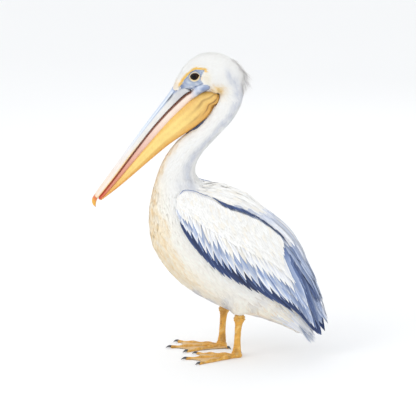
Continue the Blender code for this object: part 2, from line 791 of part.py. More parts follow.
def knuckle_solid(name, side, heel_y):
    """The thick root of the foot, where the toes meet under the leg."""
    levels = ((0.0, 0.0140, 0.0165), (0.007, 0.0150, 0.0185), (0.0162, 0.0108, 0.0134))
    rings = [limb_ring(Vector((side * LEG_SPACING / 2, heel_y - 0.003, z)), half_side, half_front)
             for z, half_side, half_front in levels]
    return add_object(name, ring_mesh(name, rings), ORANGE, 0.5)


def claw_solid(name, side, heel_y, toe):
    """A small hooked claw just off the end of its toe."""
    reach = Vector((toe.forward, toe.outward)) * FOOT_LENGTH
    ahead = reach.normalized()
    square = Vector((-ahead[1], ahead[0]))
    width = 0.0036 * toe.girth
    # distance past the toe, height of the centre, half width, half height
    levels = ((GAP, 0.0050, 1.00, 0.0038), (0.30 * CLAW_LENGTH, 0.0058, 0.85, 0.0034),
              (0.65 * CLAW_LENGTH, 0.0046, 0.55, 0.0024), (CLAW_LENGTH, 0.0022, 0.16, 0.0007))
    rings = []
    for past, centre, wide, high in levels:
        ring = []
        for spot in range(6):
            angle = 2 * math.pi * spot / 6
            spread = width * wide * math.sin(angle)
            place = reach + ahead * past + square * spread
            ring.append(foot_place(side, heel_y, place[0], place[1],
                                   centre + high * math.cos(angle)))
        rings.append(ring)
    return add_object(name, ring_mesh(name, rings), DARK, 0.4)


def make_leg(side_name, side, heel_y, body_rooms):
    """Thigh, tarsus, webbed foot and four claws of one side."""
    make_thigh("thigh_" + side_name, side, heel_y, body_rooms)
    make_tarsus("tarsus_" + side_name, side, heel_y)
    foot = web_solid("foot_" + side_name, side, heel_y)
    pieces = [knuckle_solid("knuckle", side, heel_y)]
    for toe in TOES:
        pieces.append(toe_solid("toe", side, heel_y, toe))
        claw_solid("claw_%s_%s" % (side_name, toe.name), side, heel_y, toe)
    for piece in pieces:
        combine(foot, piece, "UNION")
        bpy.data.objects.remove(piece, do_unlink=True)


# ---------------------------------------------------------------- the whole bird
def centre_on_floor():
    """Move everything so that the origin is under the middle of the whole bird."""
    low, high = Vector((9.0, 9.0, 9.0)), Vector((-9.0, -9.0, -9.0))
    bird = [thing for thing in bpy.data.objects if thing.type == "MESH"]
    for thing in bird:
        for vert in thing.data.vertices:
            low = Vector(map(min, low, vert.co))
            high = Vector(map(max, high, vert.co))
    shift = Vector((-(low.x + high.x) / 2, -(low.y + high.y) / 2, -low.z))
    for thing in bird:
        thing.data.transform(Matrix.Translation(shift))


def main():
    """Build the pelican."""
    clear_scene()
    body = make_body()
    bill_rooms = make_bill()
    head, head_room = make_head(bill_rooms)
    make_eyes(head)
    neck = body["neck_upper"]
    make_crest(head_room, room_for(neck))
    cut_back(neck, head_room, *bill_rooms)
    cut_back(body["neck_middle"], bill_rooms[2])
    body_rooms = [room_for(body["trunk"]), room_for(body["rump"])]
    make_wings(body_rooms)
    make_tail(body_rooms[1])
    make_leg("left", 1, LEFT_HEEL_Y, body_rooms)
    make_leg("right", -1, RIGHT_HEEL_Y, body_rooms)
    clear_rooms()
    centre_on_floor()


main()
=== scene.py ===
"""The looks of a standing great white pelican: skin, plumage, bill, face, legs and studio.

The bird faces -Y, its left side is +X and the floor is z = 0.  Sizes are metres.
Every place is written in the bird's own frame, whose x = 0 is the plane between its two
sides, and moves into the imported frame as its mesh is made.
"""

from __future__ import annotations

import logging
import math
from contextlib import contextmanager
from dataclasses import dataclass
from enum import Enum, IntEnum
from typing import Callable, ClassVar, Iterator, Sequence

import bpy
import numpy as np
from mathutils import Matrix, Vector
from mathutils.bvhtree import BVHTree

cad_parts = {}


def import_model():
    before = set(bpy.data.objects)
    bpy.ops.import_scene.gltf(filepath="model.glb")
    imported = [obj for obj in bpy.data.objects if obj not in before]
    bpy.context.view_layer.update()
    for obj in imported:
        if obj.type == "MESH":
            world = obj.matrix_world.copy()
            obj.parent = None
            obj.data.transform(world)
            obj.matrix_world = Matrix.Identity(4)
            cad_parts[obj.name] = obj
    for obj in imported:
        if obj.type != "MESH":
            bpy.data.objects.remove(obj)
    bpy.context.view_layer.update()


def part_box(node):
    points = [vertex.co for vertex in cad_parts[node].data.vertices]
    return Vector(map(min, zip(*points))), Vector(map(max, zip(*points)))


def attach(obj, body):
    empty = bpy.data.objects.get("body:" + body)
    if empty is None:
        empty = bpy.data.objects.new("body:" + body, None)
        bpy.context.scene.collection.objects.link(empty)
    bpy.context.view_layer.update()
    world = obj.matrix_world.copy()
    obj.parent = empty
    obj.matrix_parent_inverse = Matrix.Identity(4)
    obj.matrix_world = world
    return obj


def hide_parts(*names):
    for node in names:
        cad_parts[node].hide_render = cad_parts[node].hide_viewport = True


log = logging.getLogger("pelican")
Array = np.ndarray
Colour = tuple[float, float, float]


# ---------------------------------------------------------------- small tools
class Side(Enum):
    """The two sides of the bird, with the sign of their x."""

    LEFT = 1
    RIGHT = -1

    @property
    def word(self) -> str:
        """The side's name as it stands in the nodes' names."""
        return self.name.lower()


def paint(red: int, green: int, blue: int) -> Colour:
    """A linear colour from the three numbers of a paint chart, 0 to 255."""
    parts = []
    for value in (red, green, blue):
        share = value / 255
        parts.append(share / 12.92 if share <= 0.04045 else ((share + 0.055) / 1.055) ** 2.4)
    return (parts[0], parts[1], parts[2])


def smooth(low: float, high: float, value: Array) -> Array:
    """A soft step from 0 to 1 between two limits."""
    part = np.clip((value - low) / (high - low), 0.0, 1.0)
    return part * part * (3 - 2 * part)


def bell(value: Array, middle: float, width: float) -> Array:
    """A soft bump of height 1 about a middle value."""
    return np.exp(-((value - middle) / width) ** 2)


def swelled(value: Array, power: float) -> Array:
    """A sine or cosine made fuller by a power below 1, with its sign kept."""
    return np.sign(value) * np.abs(value) ** power


def turns(count: int) -> Array:
    """Even angles round a whole turn, as one row."""
    return np.linspace(0, 2 * math.pi, count, endpoint=False)[None]


def mix(first: Array | Colour, second: Array | Colour, share: Array | float) -> Array:
    """Blend two sets of colours by a share for each row."""
    part = np.asarray(share)[..., None]
    return np.asarray(first) * (1 - part) + np.asarray(second) * part


def coats(base: Array | Colour, *layers: tuple[Array | Colour, Array | float]) -> Array:
    """Lay colours over a base one after another, each by its own share."""
    made = base
    for colour, share in layers:
        made = mix(made, colour, share)
    return made


def unit(vectors: Array) -> Array:
    """The same vectors at length one."""
    size = np.linalg.norm(vectors, axis=-1, keepdims=True)
    return vectors / np.maximum(size, 1e-9)


def ripple(points: Array, scale: float, seed: int) -> Array:
    """Smooth made-up variation from -1 to 1, from a few crossed waves.

    Args:
        points: Places, one to a row.
        scale: The rough size of one patch.
        seed: Which variation.

    Returns:
        One value for each place.
    """
    rng = np.random.default_rng(seed)
    total = np.zeros(points.shape[:-1])
    for _ in range(6):
        way = rng.normal(size=3)
        way /= np.linalg.norm(way)
        total += np.sin(points @ way * (2 * math.pi / scale) * rng.uniform(0.6, 1.6) + rng.uniform(0, 6.3))
    return total / 3.2


def along(rows: Array, numbers: Array) -> Array:
    """Read a smooth curve through the rows of a table at fractional row numbers.

    Args:
        rows: The table.
        numbers: Row numbers of any shape.

    Returns:
        One row of values for each number.
    """
    table = np.asarray(rows, dtype=float)
    last = len(table) - 1
    spots = np.clip(np.asarray(numbers, dtype=float), 0.0, last)
    start = np.minimum(spots.astype(int), last - 1)
    part = (spots - start)[..., None]
    padded = np.vstack((2 * table[0] - table[1], table, 2 * table[-1] - table[-2]))
    before, first, second, after = (padded[start + step] for step in range(4))
    slope_a, slope_b = (second - before) / 2, (after - first) / 2
    square, cube = part ** 2, part ** 3
    return ((2 * cube - 3 * square + 1) * first + (cube - 2 * square + part) * slope_a
            + (3 * square - 2 * cube) * second + (cube - square) * slope_b)


def columns(table: Sequence[tuple[float, ...]], count: int) -> Array:
    """A table's columns, each read smoothly from its first row to its last, as a count by 1 array."""
    return along(table, np.linspace(0, len(table) - 1, count)).T[..., None]


# ---------------------------------------------------------------- finishes
class ShaderTree:
    """The nodes of one new material, added and linked by the names of their sockets."""

    def __init__(self, name: str) -> None:
        """Start from the shader that a new material has."""
        self.material = bpy.data.materials.new(name)
        self.material.use_nodes = True
        self.tree = self.material.node_tree
        self.shader = self.tree.nodes["Principled BSDF"]
        self.place = self.add("TexCoord", "Object", {})

    def add(self, kind: str, output: str, inputs: dict[str | int, object],
            **settings: str) -> bpy.types.NodeSocket:
        """Add a node.

        Args:
            kind: Its type, without the first words that all share.
            output: The output that is wanted.
            inputs: Plain values or other nodes' outputs, by socket.
            settings: The node's own options.

        Returns:
            The output.
        """
        made = self.tree.nodes.new("ShaderNode" + kind)
        for key, value in settings.items():
            setattr(made, key, value)
        self.fill(made, inputs)
        return made.outputs[output]

    def fill(self, node: bpy.types.Node, inputs: dict[str | int, object]) -> None:
        """Set sockets to plain values, and link other nodes' outputs to them."""
        for key, value in inputs.items():
            if isinstance(value, bpy.types.NodeSocket):
                self.tree.links.new(value, node.inputs[key])
            else:
                node.inputs[key].default_value = value


@dataclass(frozen=True)
class Finish:
    """A surface finish whose colour comes from the piece's own tint, with fine detail.

    Attributes:
        name: Name of the finish.
        slot: The record's material slot that it belongs to; not used.
        roughness: Middle of the roughness.
        mottle: How much the colour varies in patches.
        mottle_size: The size of one patch.
        grain: Height of the fine relief.
        grain_size: The size of its grains or streaks.
        streaks: How many times longer than wide the grains are along z.
        coat: Strength of a clear wet layer.
        sheen: Strength of a soft bloom, as on down.
        soft: How much light passes into the surface and out again.
    """

    GLOSS_RANGE: ClassVar[float] = 0.12
    LIGHT_DEPTH: ClassVar[float] = 0.004
    LIGHT_TINT: ClassVar[Colour] = (1.0, 0.97, 0.94)

    name: str
    slot: str
    roughness: float = 0.8
    mottle: float = 0.12
    mottle_size: float = 0.02
    grain: float = 0.0004
    grain_size: float = 0.002
    streaks: float = 1.0
    coat: float = 0.0
    sheen: float = 0.0
    soft: float = 0.0

    def material(self) -> bpy.types.Material:
        """The finish as a Blender material, made once."""
        found = bpy.data.materials.get(self.name)
        if found:
            return found
        tree = ShaderTree(self.name)
        patches = self.noise(tree, 1.0 / self.mottle_size, 1.0)
        grains = self.noise(tree, 1.0 / self.grain_size, self.streaks)
        shade = tree.add("MapRange", "Result", {
            "To Min": 1.0 - self.mottle, "To Max": 1.0 + 0.5 * self.mottle, "Value": patches})
        fine = tree.add("MapRange", "Result", {
            "To Min": 1.0 - 0.8 * self.mottle, "To Max": 1.0 + 0.5 * self.mottle, "Value": grains})
        both = tree.add("Math", "Value", {0: shade, 1: fine}, operation="MULTIPLY")
        tint = tree.add("Attribute", "Color", {}, attribute_name="Tint")
        colour = tree.add("VectorMath", "Vector", {0: tint, "Scale": both}, operation="SCALE")
        gloss = tree.add("MapRange", "Result", {
            "To Min": max(self.roughness - self.GLOSS_RANGE, 0.05),
            "To Max": min(self.roughness + self.GLOSS_RANGE, 1.0), "Value": grains})
        relief = tree.add("Bump", "Normal", {"Strength": 0.6, "Distance": self.grain, "Height": grains})
        tree.fill(tree.shader, {
            "Base Color": colour, "Roughness": gloss, "Normal": relief, "Metallic": 0.0,
            "Coat Weight": self.coat, "Coat Roughness": 0.12, "Sheen Weight": self.sheen,
            "Subsurface Weight": self.soft, "Subsurface Scale": self.LIGHT_DEPTH,
            "Subsurface Radius": self.LIGHT_TINT})
        return tree.material

    @staticmethod
    def noise(tree: ShaderTree, scale: float, stretch: float) -> bpy.types.NodeSocket:
        """A noise texture on the piece's own coordinates, stretched along z."""
        spread = tree.add("Mapping", "Vector", {"Scale": (1.0, 1.0, 1.0 / stretch), "Vector": tree.place})
        return tree.add("TexNoise", "Fac", {"Scale": scale, "Detail": 3.0, "Vector": spread})


DOWN = Finish("body_plumage", "white_feathers", 0.88, 0.04, 0.012, 0.0003, 0.0012, 3.0,
              sheen=0.12, soft=0.15)
COVERT = Finish("covert_vanes", "wing_coverts", 0.8, 0.05, 0.012, 0.0002, 0.0010, 4.0,
                sheen=0.1, soft=0.10)
QUILL = Finish("flight_vanes", "flight_feathers", 0.6, 0.22, 0.012, 0.0002, 0.0010, 5.0, sheen=0.05)
TAIL = Finish("tail_vanes", "tail_feathers", 0.7, 0.12, 0.012, 0.0002, 0.0010, 5.0, sheen=0.1)
FLESH = Finish("skin_under_plumage", "white_feathers", 0.85, 0.08, 0.02, 0.0004, 0.003, 1.0)
FACE = Finish("bare_face_skin", "pouch_skin", 0.5, 0.20, 0.006, 0.0006, 0.0014, 1.0, soft=0.1)
HORN = Finish("bill_keratin", "bill_horn", 0.38, 0.12, 0.012, 0.0003, 0.0022, 5.0, coat=0.15, soft=0.05)
NAIL = Finish("nail_keratin", "nail_horn", 0.3, 0.15, 0.006, 0.0002, 0.0015, 3.0, coat=0.3)
POUCH = Finish("pouch_hide", "pouch_skin", 0.5, 0.16, 0.012, 0.0006, 0.0022, 4.0, soft=0.12)
SCUTE = Finish("scaly_leg_hide", "leg_skin", 0.5, 0.24, 0.006, 0.0009, 0.0024, 1.0, soft=0.05)
CLAW = Finish("claw_keratin", "claw_horn", 0.28, 0.3, 0.004, 0.0002, 0.001, 2.0, coat=0.3)


@dataclass(frozen=True)
class EyeFinish:
    """The wet dark eye: a black pupil in a brown iris under a clear cornea."""

    name: str
    iris: Colour
    pupil: Colour
    pupil_radius: float
    centre: tuple[float, float, float]

    def material(self) -> bpy.types.Material:
        """The finish as a Blender material."""
        tree = ShaderTree(self.name)
        away = tree.add("VectorMath", "Value", {0: tree.place, 1: self.centre}, operation="DISTANCE")
        rim = tree.add("MapRange", "Result", {
            "From Min": self.pupil_radius, "From Max": self.pupil_radius * 1.25, "Value": away})
        flecks = tree.add("TexNoise", "Fac", {"Scale": 900.0, "Vector": tree.place})
        iris = tree.add("Mix", "Result", {
            "A": (*self.iris, 1.0), "B": (*(0.45 * part for part in self.iris), 1.0),
            "Factor": flecks}, data_type="RGBA")
        whole = tree.add("Mix", "Result", {
            "A": (*self.pupil, 1.0), "B": iris, "Factor": rim}, data_type="RGBA")
        tree.fill(tree.shader, {"Roughness": 0.10, "Specular IOR Level": 0.16, "Base Color": whole})
        return tree.material


# ---------------------------------------------------------------- the workbench
HEEL_Y = {Side.LEFT: 0.103, Side.RIGHT: 0.042}      # how far back each heel stands
FOOT_TURN = {Side.LEFT: math.radians(19.0), Side.RIGHT: math.radians(14.0)}


class Workbench:
    """Makes meshes in the bird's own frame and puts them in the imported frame."""

    TARSUS_Y = HEEL_Y[Side.LEFT] + 0.00325      # middle of the left tarsus in the bird's frame

    def __init__(self) -> None:
        """Find where the bird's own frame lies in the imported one."""
        low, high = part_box("bill_nail")
        heel_low, heel_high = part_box("tarsus_left")
        self.origin = np.array(((low.x + high.x) / 2, (heel_low.y + heel_high.y) / 2 - self.TARSUS_Y, 0.0))
        self.triangles = 0

    @staticmethod
    def deselect() -> None:
        """Leave nothing selected and nothing in edit mode."""
        if bpy.context.object and bpy.context.object.mode != "OBJECT":
            bpy.ops.object.mode_set(mode="OBJECT")
        bpy.ops.object.select_all(action="DESELECT")

    def pick(self, *pieces: bpy.types.Object) -> None:
        """Select only these pieces, and work on the first."""
        self.deselect()
        for piece in pieces:
            piece.select_set(True)
        bpy.context.view_layer.objects.active = pieces[0]

    @contextmanager
    def editing(self) -> Iterator[None]:
        """Edit the piece in hand with all of it selected."""
        bpy.ops.object.mode_set(mode="EDIT")
        bpy.ops.mesh.select_all(action="SELECT")
        yield
        bpy.ops.object.mode_set(mode="OBJECT")

    def turn_over(self, piece: bpy.types.Object) -> None:
        """Turn an open sheet's faces to its other side."""
        self.pick(piece)
        with self.editing():
            bpy.ops.mesh.flip_normals()

    @staticmethod
    def read(mesh: bpy.types.Mesh, key: str) -> Array:
        """The places or the normals of a mesh's vertices."""
        values = np.empty(len(mesh.vertices) * 3)
        mesh.vertices.foreach_get(key, values)
        return values.reshape(-1, 3)

    def node_tree(self, *nodes: str) -> BVHTree:
        """A search tree over the faces of some nodes or pieces, in the bird's frame."""
        points, faces, start = [], [], 0
        for node in nodes:
            piece = bpy.data.objects[node]
            spots = self.points_of(piece)
            points.extend(Vector(spot) for spot in spots)
            faces.extend([start + index for index in face.vertices] for face in piece.data.polygons)
            start += len(spots)
        return BVHTree.FromPolygons(points, faces)

    def finish_piece(self, piece: bpy.types.Object, finish: Finish, tint: Array | Colour,
                     replaced: Sequence[str] = ()) -> bpy.types.Object:
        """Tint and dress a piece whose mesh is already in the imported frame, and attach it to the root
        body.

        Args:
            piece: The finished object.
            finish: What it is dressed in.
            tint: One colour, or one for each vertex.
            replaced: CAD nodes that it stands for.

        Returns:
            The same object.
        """
        mesh = piece.data
        colours = np.ones((len(mesh.vertices), 4))
        colours[:, :3] = np.clip(tint, 0.0, 1.0)
        layer = mesh.color_attributes.new("Tint", "FLOAT_COLOR", "POINT")
        layer.data.foreach_set("color", colours.ravel())
        mesh.materials.clear()
        mesh.materials.append(finish.material())
        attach(piece, "root")
        if replaced:
            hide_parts(*replaced)
        mesh.calc_loop_triangles()
        self.triangles += len(mesh.loop_triangles)
        log.info("%s: %d triangles", piece.name, len(mesh.loop_triangles))
        return piece

    def draped_grid(self, name: str, points: Array) -> bpy.types.Object:
        """A grid laid over a surface: its vertices go to the points given.

        Args:
            name: Name of the new object.
            points: Places in the bird's frame, by row and column.

        Returns:
            The sheet.
        """
        rows, across = points.shape[:2]
        self.deselect()
        bpy.ops.mesh.primitive_grid_add(x_subdivisions=across - 1, y_subdivisions=rows - 1, size=1.0)
        made = bpy.context.object
        made.name = made.data.name = name
        made.data.vertices.foreach_set("co", (points + self.origin).reshape(-1))
        made.data.update()
        bpy.ops.object.shade_smooth()
        return made

    def rolled_sheet(self, name: str, rings: Array, capped: bool = True) -> bpy.types.Object:
        """Roll a grid up into a closed tube that passes through rings of points.

        Args:
            name: Name of the new object.
            rings: Points in the bird's frame, by ring and by place round it.
            capped: Whether both ends are closed.

        Returns:
            The tube, with faces outwards.
        """
        made = self.draped_grid(name, np.concatenate((rings, rings[:, :1]), axis=1))
        with self.editing():
            bpy.ops.mesh.remove_doubles(threshold=0.00001)
            if capped:
                bpy.ops.mesh.select_all(action="DESELECT")
                bpy.ops.mesh.select_non_manifold()
                bpy.ops.mesh.fill_holes(sides=0)
            bpy.ops.mesh.select_all(action="SELECT")
            bpy.ops.mesh.normals_make_consistent(inside=False)
        bpy.ops.object.shade_smooth()
        return made

    def points_of(self, piece: bpy.types.Object) -> Array:
        """A piece's vertices in the bird's frame."""
        return self.read(piece.data, "co") - self.origin

    def apply(self, piece: bpy.types.Object, kind: str, **settings: object) -> None:
        """Add one modifier and apply it."""
        self.pick(piece)
        step = piece.modifiers.new(kind.lower(), kind)
        for key, value in settings.items():
            setattr(step, key, value)
        bpy.ops.object.modifier_apply(modifier=step.name)


# ---------------------------------------------------------------- body form
BODY_STATIONS = (
    # y, z, depth to the back, depth to the belly, half width
    (0.056, 0.842, 0.036, 0.034, 0.031), (0.078, 0.795, 0.037, 0.037, 0.031),
    (0.053, 0.733, 0.036, 0.037, 0.030), (0.001, 0.672, 0.034, 0.035, 0.031),
    (-0.050, 0.621, 0.041, 0.043, 0.037), (-0.079, 0.570, 0.051, 0.052, 0.047),
    (-0.087, 0.522, 0.069, 0.069, 0.065), (-0.072, 0.483, 0.067, 0.120, 0.088),
    (-0.040, 0.437, 0.114, 0.161, 0.108), (0.000, 0.385, 0.144, 0.177, 0.120),
    (0.055, 0.325, 0.151, 0.175, 0.122), (0.120, 0.262, 0.147, 0.149, 0.112),
    (0.180, 0.205, 0.115, 0.113, 0.092), (0.230, 0.160, 0.075, 0.075, 0.066),
    (0.270, 0.118, 0.045, 0.046, 0.043), (0.300, 0.083, 0.026, 0.027, 0.027),
)
BED_FILL = (
    # station number, extra depth and extra half width of the form under the folded wings
    (6, 0.000, 0.000), (8, 0.004, 0.002), (10, 0.011, 0.004), (11, 0.022, 0.008),
    (12, 0.038, 0.009), (13, 0.048, 0.010), (14, 0.052, 0.014), (15, 0.050, 0.018),
    (16, 0.046, 0.016), (17, 0.040, 0.010),
)
BED_TAIL = ((0.335, 0.044, 0.012, 0.012, 0.014), (0.372, 0.004, 0.004, 0.004, 0.006))
WING_LINES = (
    # side view of the folded wing: y, z on its upper edge and y, z on its lower edge
    (-0.072, 0.487, -0.072, 0.430), (-0.047, 0.512, -0.032, 0.372),
    (0.020, 0.496, 0.040, 0.294), (0.080, 0.470, 0.120, 0.245),
    (0.140, 0.448, 0.205, 0.197), (0.200, 0.414, 0.284, 0.150),
    (0.262, 0.356, 0.334, 0.092), (0.312, 0.270, 0.361, 0.078),
)


class BodyForm:
    """The bird's trunk and neck as sections along a bent axis."""

    SQUARENESS = 2.15
    SAMPLES = 700             # along the axis
    STEP = 0.004              # between the places of the chart
    CHART = (180, 260)        # places along y and z
    BATCH = 6000              # places compared at once

    def __init__(self, stations: Sequence[tuple[float, ...]], first: float = 0.0) -> None:
        """Sample the axis finely, and note which sample is nearest all over the side view."""
        self.stations = np.array(stations)
        self.numbers = np.linspace(first, len(stations) - 1.001, self.SAMPLES)
        self.centres = along(self.stations, self.numbers)[:, :2]
        self.ahead = self.heading(self.numbers)
        self.low = np.array((-0.30, -0.05))
        spots = self.low + self.STEP * np.indices(self.CHART).reshape(2, -1).T
        every = np.arange(0, self.SAMPLES, 4)
        _, chosen = self.nearest(spots, np.broadcast_to(every, (len(spots), len(every))))
        self.chart = chosen.reshape(self.CHART)

    def heading(self, numbers: Array) -> Array:
        """The axis's direction in y and z at some station numbers."""
        ahead = along(self.stations, numbers + 0.02) - along(self.stations, numbers - 0.02)
        return unit(ahead[..., :2])

    def nearest(self, spots: Array, choices: Array) -> tuple[Array, Array]:
        """The best of some axis samples for each place, and its row among them."""
        best = np.empty(len(spots), dtype=int)
        for start in range(0, len(spots), self.BATCH):
            part = slice(start, start + self.BATCH)
            gaps_y = spots[part, None, 0] - self.centres[choices[part], 0]
            gaps_z = spots[part, None, 1] - self.centres[choices[part], 1]
            beside = np.abs(gaps_y * self.ahead[choices[part], 0] + gaps_z * self.ahead[choices[part], 1])
            best[part] = (beside + 0.05 * np.sqrt(gaps_y ** 2 + gaps_z ** 2)).argmin(1)
        chosen = np.take_along_axis(choices, best[:, None], axis=1)[:, 0]
        return best, chosen

    def locate(self, sides: Array) -> tuple[Array, Array]:
        """Station number and height towards the back of places seen from the side.

        Args:
            sides: y and z of each place.

        Returns:
            The station numbers, and the heights above the axis in metres.
        """
        cells = np.rint((sides - self.low) / self.STEP).astype(int).clip(0, np.array(self.CHART) - 1)
        start = self.chart[cells[:, 0], cells[:, 1]]
        choices = (start[:, None] + np.arange(-12, 13)).clip(0, self.SAMPLES - 1)
        _, best = self.nearest(sides, choices)
        ahead = self.ahead[best]
        back = np.stack((-ahead[:, 1], ahead[:, 0]), axis=1)
        return self.numbers[best], ((sides - self.centres[best]) * back).sum(1)

    def surface(self, numbers: Array, angles: Array, side: float, lift: Array) -> Array:
        """Points of the surface.  Angle 0 is the back, pi / 2 the flank, pi the belly.

        Args:
            numbers: Station numbers.
            angles: Angles round the section.
            side: 1 for the left half or -1 for the right.
            lift: Height above the form.

        Returns:
            One point for each number.
        """
        rows = along(self.stations, numbers)
        ahead = self.heading(numbers)
        back = np.stack((-ahead[..., 1], ahead[..., 0]), axis=-1)
        power = 2 / self.SQUARENESS
        across = np.sign(np.sin(angles)) * np.abs(np.sin(angles)) ** power
        upward = np.abs(np.cos(angles)) ** power
        depth = np.where(np.cos(angles) > 0, rows[..., 2] + lift, -(rows[..., 3] + lift))
        place = rows[..., :2] + back * (depth * upward)[..., None]
        out = side * (rows[..., 4] + lift) * across
        return np.concatenate((out[..., None], place), axis=-1)


class WingBed:
    """The form that a folded wing lies on, read in the wing's own coordinates."""

    def __init__(self) -> None:
        """Fill the trunk's stations out and carry them on past the rump."""
        fill = np.array(BED_FILL)
        rows = np.array(BODY_STATIONS + BED_TAIL)
        spots = np.arange(len(rows))
        rows[:, 2] += np.interp(spots, fill[:, 0], fill[:, 1])
        rows[:, 4] += np.interp(spots, fill[:, 0], fill[:, 2])
        self.form = BodyForm(rows, 5.5)
        self.lines = np.array(WING_LINES)

    def settle(self, sides: Array) -> tuple[Array, Array]:
        """Station numbers and angles of surface points seen at y, z from the side."""
        numbers, heights = self.form.locate(sides)
        rows = along(self.form.stations, numbers)
        depth = np.where(heights > 0, rows[:, 2], rows[:, 3]) + 0.02
        share = np.minimum(np.abs(heights) / depth, 0.995) ** (BodyForm.SQUARENESS / 2)
        angles = np.arccos(share)
        return numbers, np.where(heights > 0, angles, math.pi - angles)

    def point(self, far: Array, across: Array, lift: Array, side: Side) -> Array:
        """Points of a wing.

        Args:
            far: Place along the wing, 0 in front to 1 at the rear.
            across: Place across it, 0 on the upper edge to 1 on the lower.
            lift: Height above the form.
            side: Which wing.

        Returns:
            One point for each place.
        """
        shape = np.shape(far)
        rows = along(self.lines, np.ravel(far) * (len(self.lines) - 1))
        share = np.ravel(across)[:, None]
        sides = rows[:, :2] * (1 - share) + rows[:, 2:] * share
        numbers, angles = self.settle(sides)
        made = self.form.surface(numbers, angles, side.value, np.ravel(lift))
        return made.reshape(*shape, 3)

    def edge_angle(self, numbers: Array) -> Array:
        """The angle round the body at which the wing's upper edge lies."""
        far = np.linspace(0, 1, 80)
        rows = along(self.lines, far * (len(self.lines) - 1))
        edge_numbers, angles = self.settle(rows[:, :2])
        order = np.argsort(edge_numbers)
        return np.interp(numbers, edge_numbers[order], angles[order])


# ---------------------------------------------------------------- feathers
@dataclass(frozen=True)
class VaneShape:
    """The outline of one kind of feather, as a small grid of points.

    Attributes:
        rows: Points along the feather.
        columns: Places across it, from -1 to 1.
        root: Width at the root, as a share of the widest.
        shoulder: Where along the feather the taper to the tip begins, 0 to 1.
        point: 2 gives a round tip, less a more pointed one.
        fray: How far each column stops short of the tip, as a share of the length.
        camber: How much the edges fall below the shaft, as a share of the half width.
        tilt: How much one edge stands above the other.
    """

    rows: int = 5
    columns: tuple[float, ...] = (-1.0, -0.5, 0.0, 0.5, 1.0)
    root: float = 0.35
    shoulder: float = 0.45
    point: float = 1.6
    fray: tuple[float, ...] = (0.10, 0.16, 0.0, 0.13, 0.06)
    camber: float = 0.22
    tilt: float = 0.0

    def widths(self) -> Array:
        """Half width at each row as a share of the widest."""
        part = np.linspace(0.0, 1.0, self.rows)
        grow = self.root + (1 - self.root) * smooth(0.0, 0.4, part)
        fall = np.clip((part - self.shoulder) / (1 - self.shoulder), 0.0, 1.0)
        taper = (1 - fall ** self.point) ** (1 / 1.5)
        return np.maximum(grow * taper, 0.07)


@dataclass
class Plumes:
    """A batch of feathers: their centre lines, outward directions, widths and tints."""

    paths: Array       # count, rows, 3
    outward: Array     # count, rows, 3
    half: Array        # count
    tints: Array       # count, rows, columns, 3
    shape: VaneShape

    def vertices(self) -> Array:
        """The points of every vane, by feather, row and column."""
        shape = self.shape
        columns = np.array(shape.columns)
        forward = unit(np.gradient(self.paths, axis=1))
        across = unit(np.cross(forward, self.outward))
        up = np.cross(across, forward)
        half = self.half[:, None] * shape.widths()[None]
        length = np.linalg.norm(self.paths[:, -1] - self.paths[:, 0], axis=1)
        offset = half[..., None] * columns
        drop = half[..., None] * (-shape.camber * np.abs(columns) ** 1.6 + shape.tilt * columns)
        part = np.linspace(0.0, 1.0, shape.rows)
        back = smooth(0.5, 1.0, part)[None, :, None] * np.array(shape.fray) * length[:, None, None]
        return (self.paths[:, :, None] + across[:, :, None] * offset[..., None]
                + up[:, :, None] * drop[..., None] - forward[:, :, None] * back[..., None])


@dataclass
class Plumage:
    """Joins batches of feathers into pieces, each with the map that its colours go on."""

    bench: Workbench
    PATCH: ClassVar[float] = 0.003

    def piece(self, name: str, laid: Sequence[tuple[Plumes, Array]], finish: Finish,
              replaced: Sequence[str] = ()) -> bpy.types.Object:
        """One joined mesh of feathers.

        Args:
            name: Name of the piece.
            laid: Batches of feathers, each with the places of its roots on an unwrap.
            finish: What the feathers are dressed in.
            replaced: CAD nodes that the piece stands for.

        Returns:
            The piece.
        """
        points, faces, tints, maps = [], [], [], []
        start = 0
        places = self.spread_map(np.concatenate([spots for _, spots in laid]))
        cuts = np.cumsum([len(spots) for _, spots in laid])[:-1]
        for (plumes, _), spots in zip(laid, np.split(places, cuts)):
            grid = plumes.vertices()
            count, rows, columns = grid.shape[:3]
            numbers = start + np.arange(count * rows * columns).reshape(count, rows, columns)
            quads = np.stack((numbers[:, :-1, :-1], numbers[:, :-1, 1:],
                              numbers[:, 1:, 1:], numbers[:, 1:, :-1]), axis=-1)
            faces.append(quads.reshape(-1, 4))
            points.append(grid.reshape(-1, 3))
            tints.append(plumes.tints.reshape(-1, 3))
            u = (np.linspace(-0.5, 0.5, columns) * self.PATCH)[None, None, :] + spots[:, 0][:, None, None]
            v = (np.linspace(-0.5, 0.5, rows) * self.PATCH)[None, :, None] + spots[:, 1][:, None, None]
            maps.append(np.stack(np.broadcast_arrays(u, v), axis=-1).reshape(-1, 2))
            start += count * rows * columns
        quads = np.concatenate(faces)
        places_flat = np.concatenate(maps)
        mesh = bpy.data.meshes.new(name)
        mesh.vertices.add(start)
        mesh.vertices.foreach_set("co", (np.concatenate(points) + self.bench.origin).ravel())
        mesh.loops.add(quads.size)
        mesh.loops.foreach_set("vertex_index", quads.ravel())
        mesh.polygons.add(len(quads))
        mesh.polygons.foreach_set("loop_start", np.arange(0, quads.size, 4))
        mesh.update(calc_edges=True)
        mesh.uv_layers.new(name="OFBake").data.foreach_set("uv", places_flat[quads.ravel()].ravel())
        mesh.shade_smooth()
        made = bpy.data.objects.new(name, mesh)
        bpy.context.scene.collection.objects.link(made)
        return self.bench.finish_piece(made, finish, np.concatenate(tints), replaced)

    @staticmethod
    def spread_map(spots: Array) -> Array:
        """Fit places on an unwrap into the middle 96 hundredths of a square."""
        low, high = spots.min(0), spots.max(0)
        return 0.02 + 0.96 * (spots - low) / np.maximum(high - low, 1e-6)


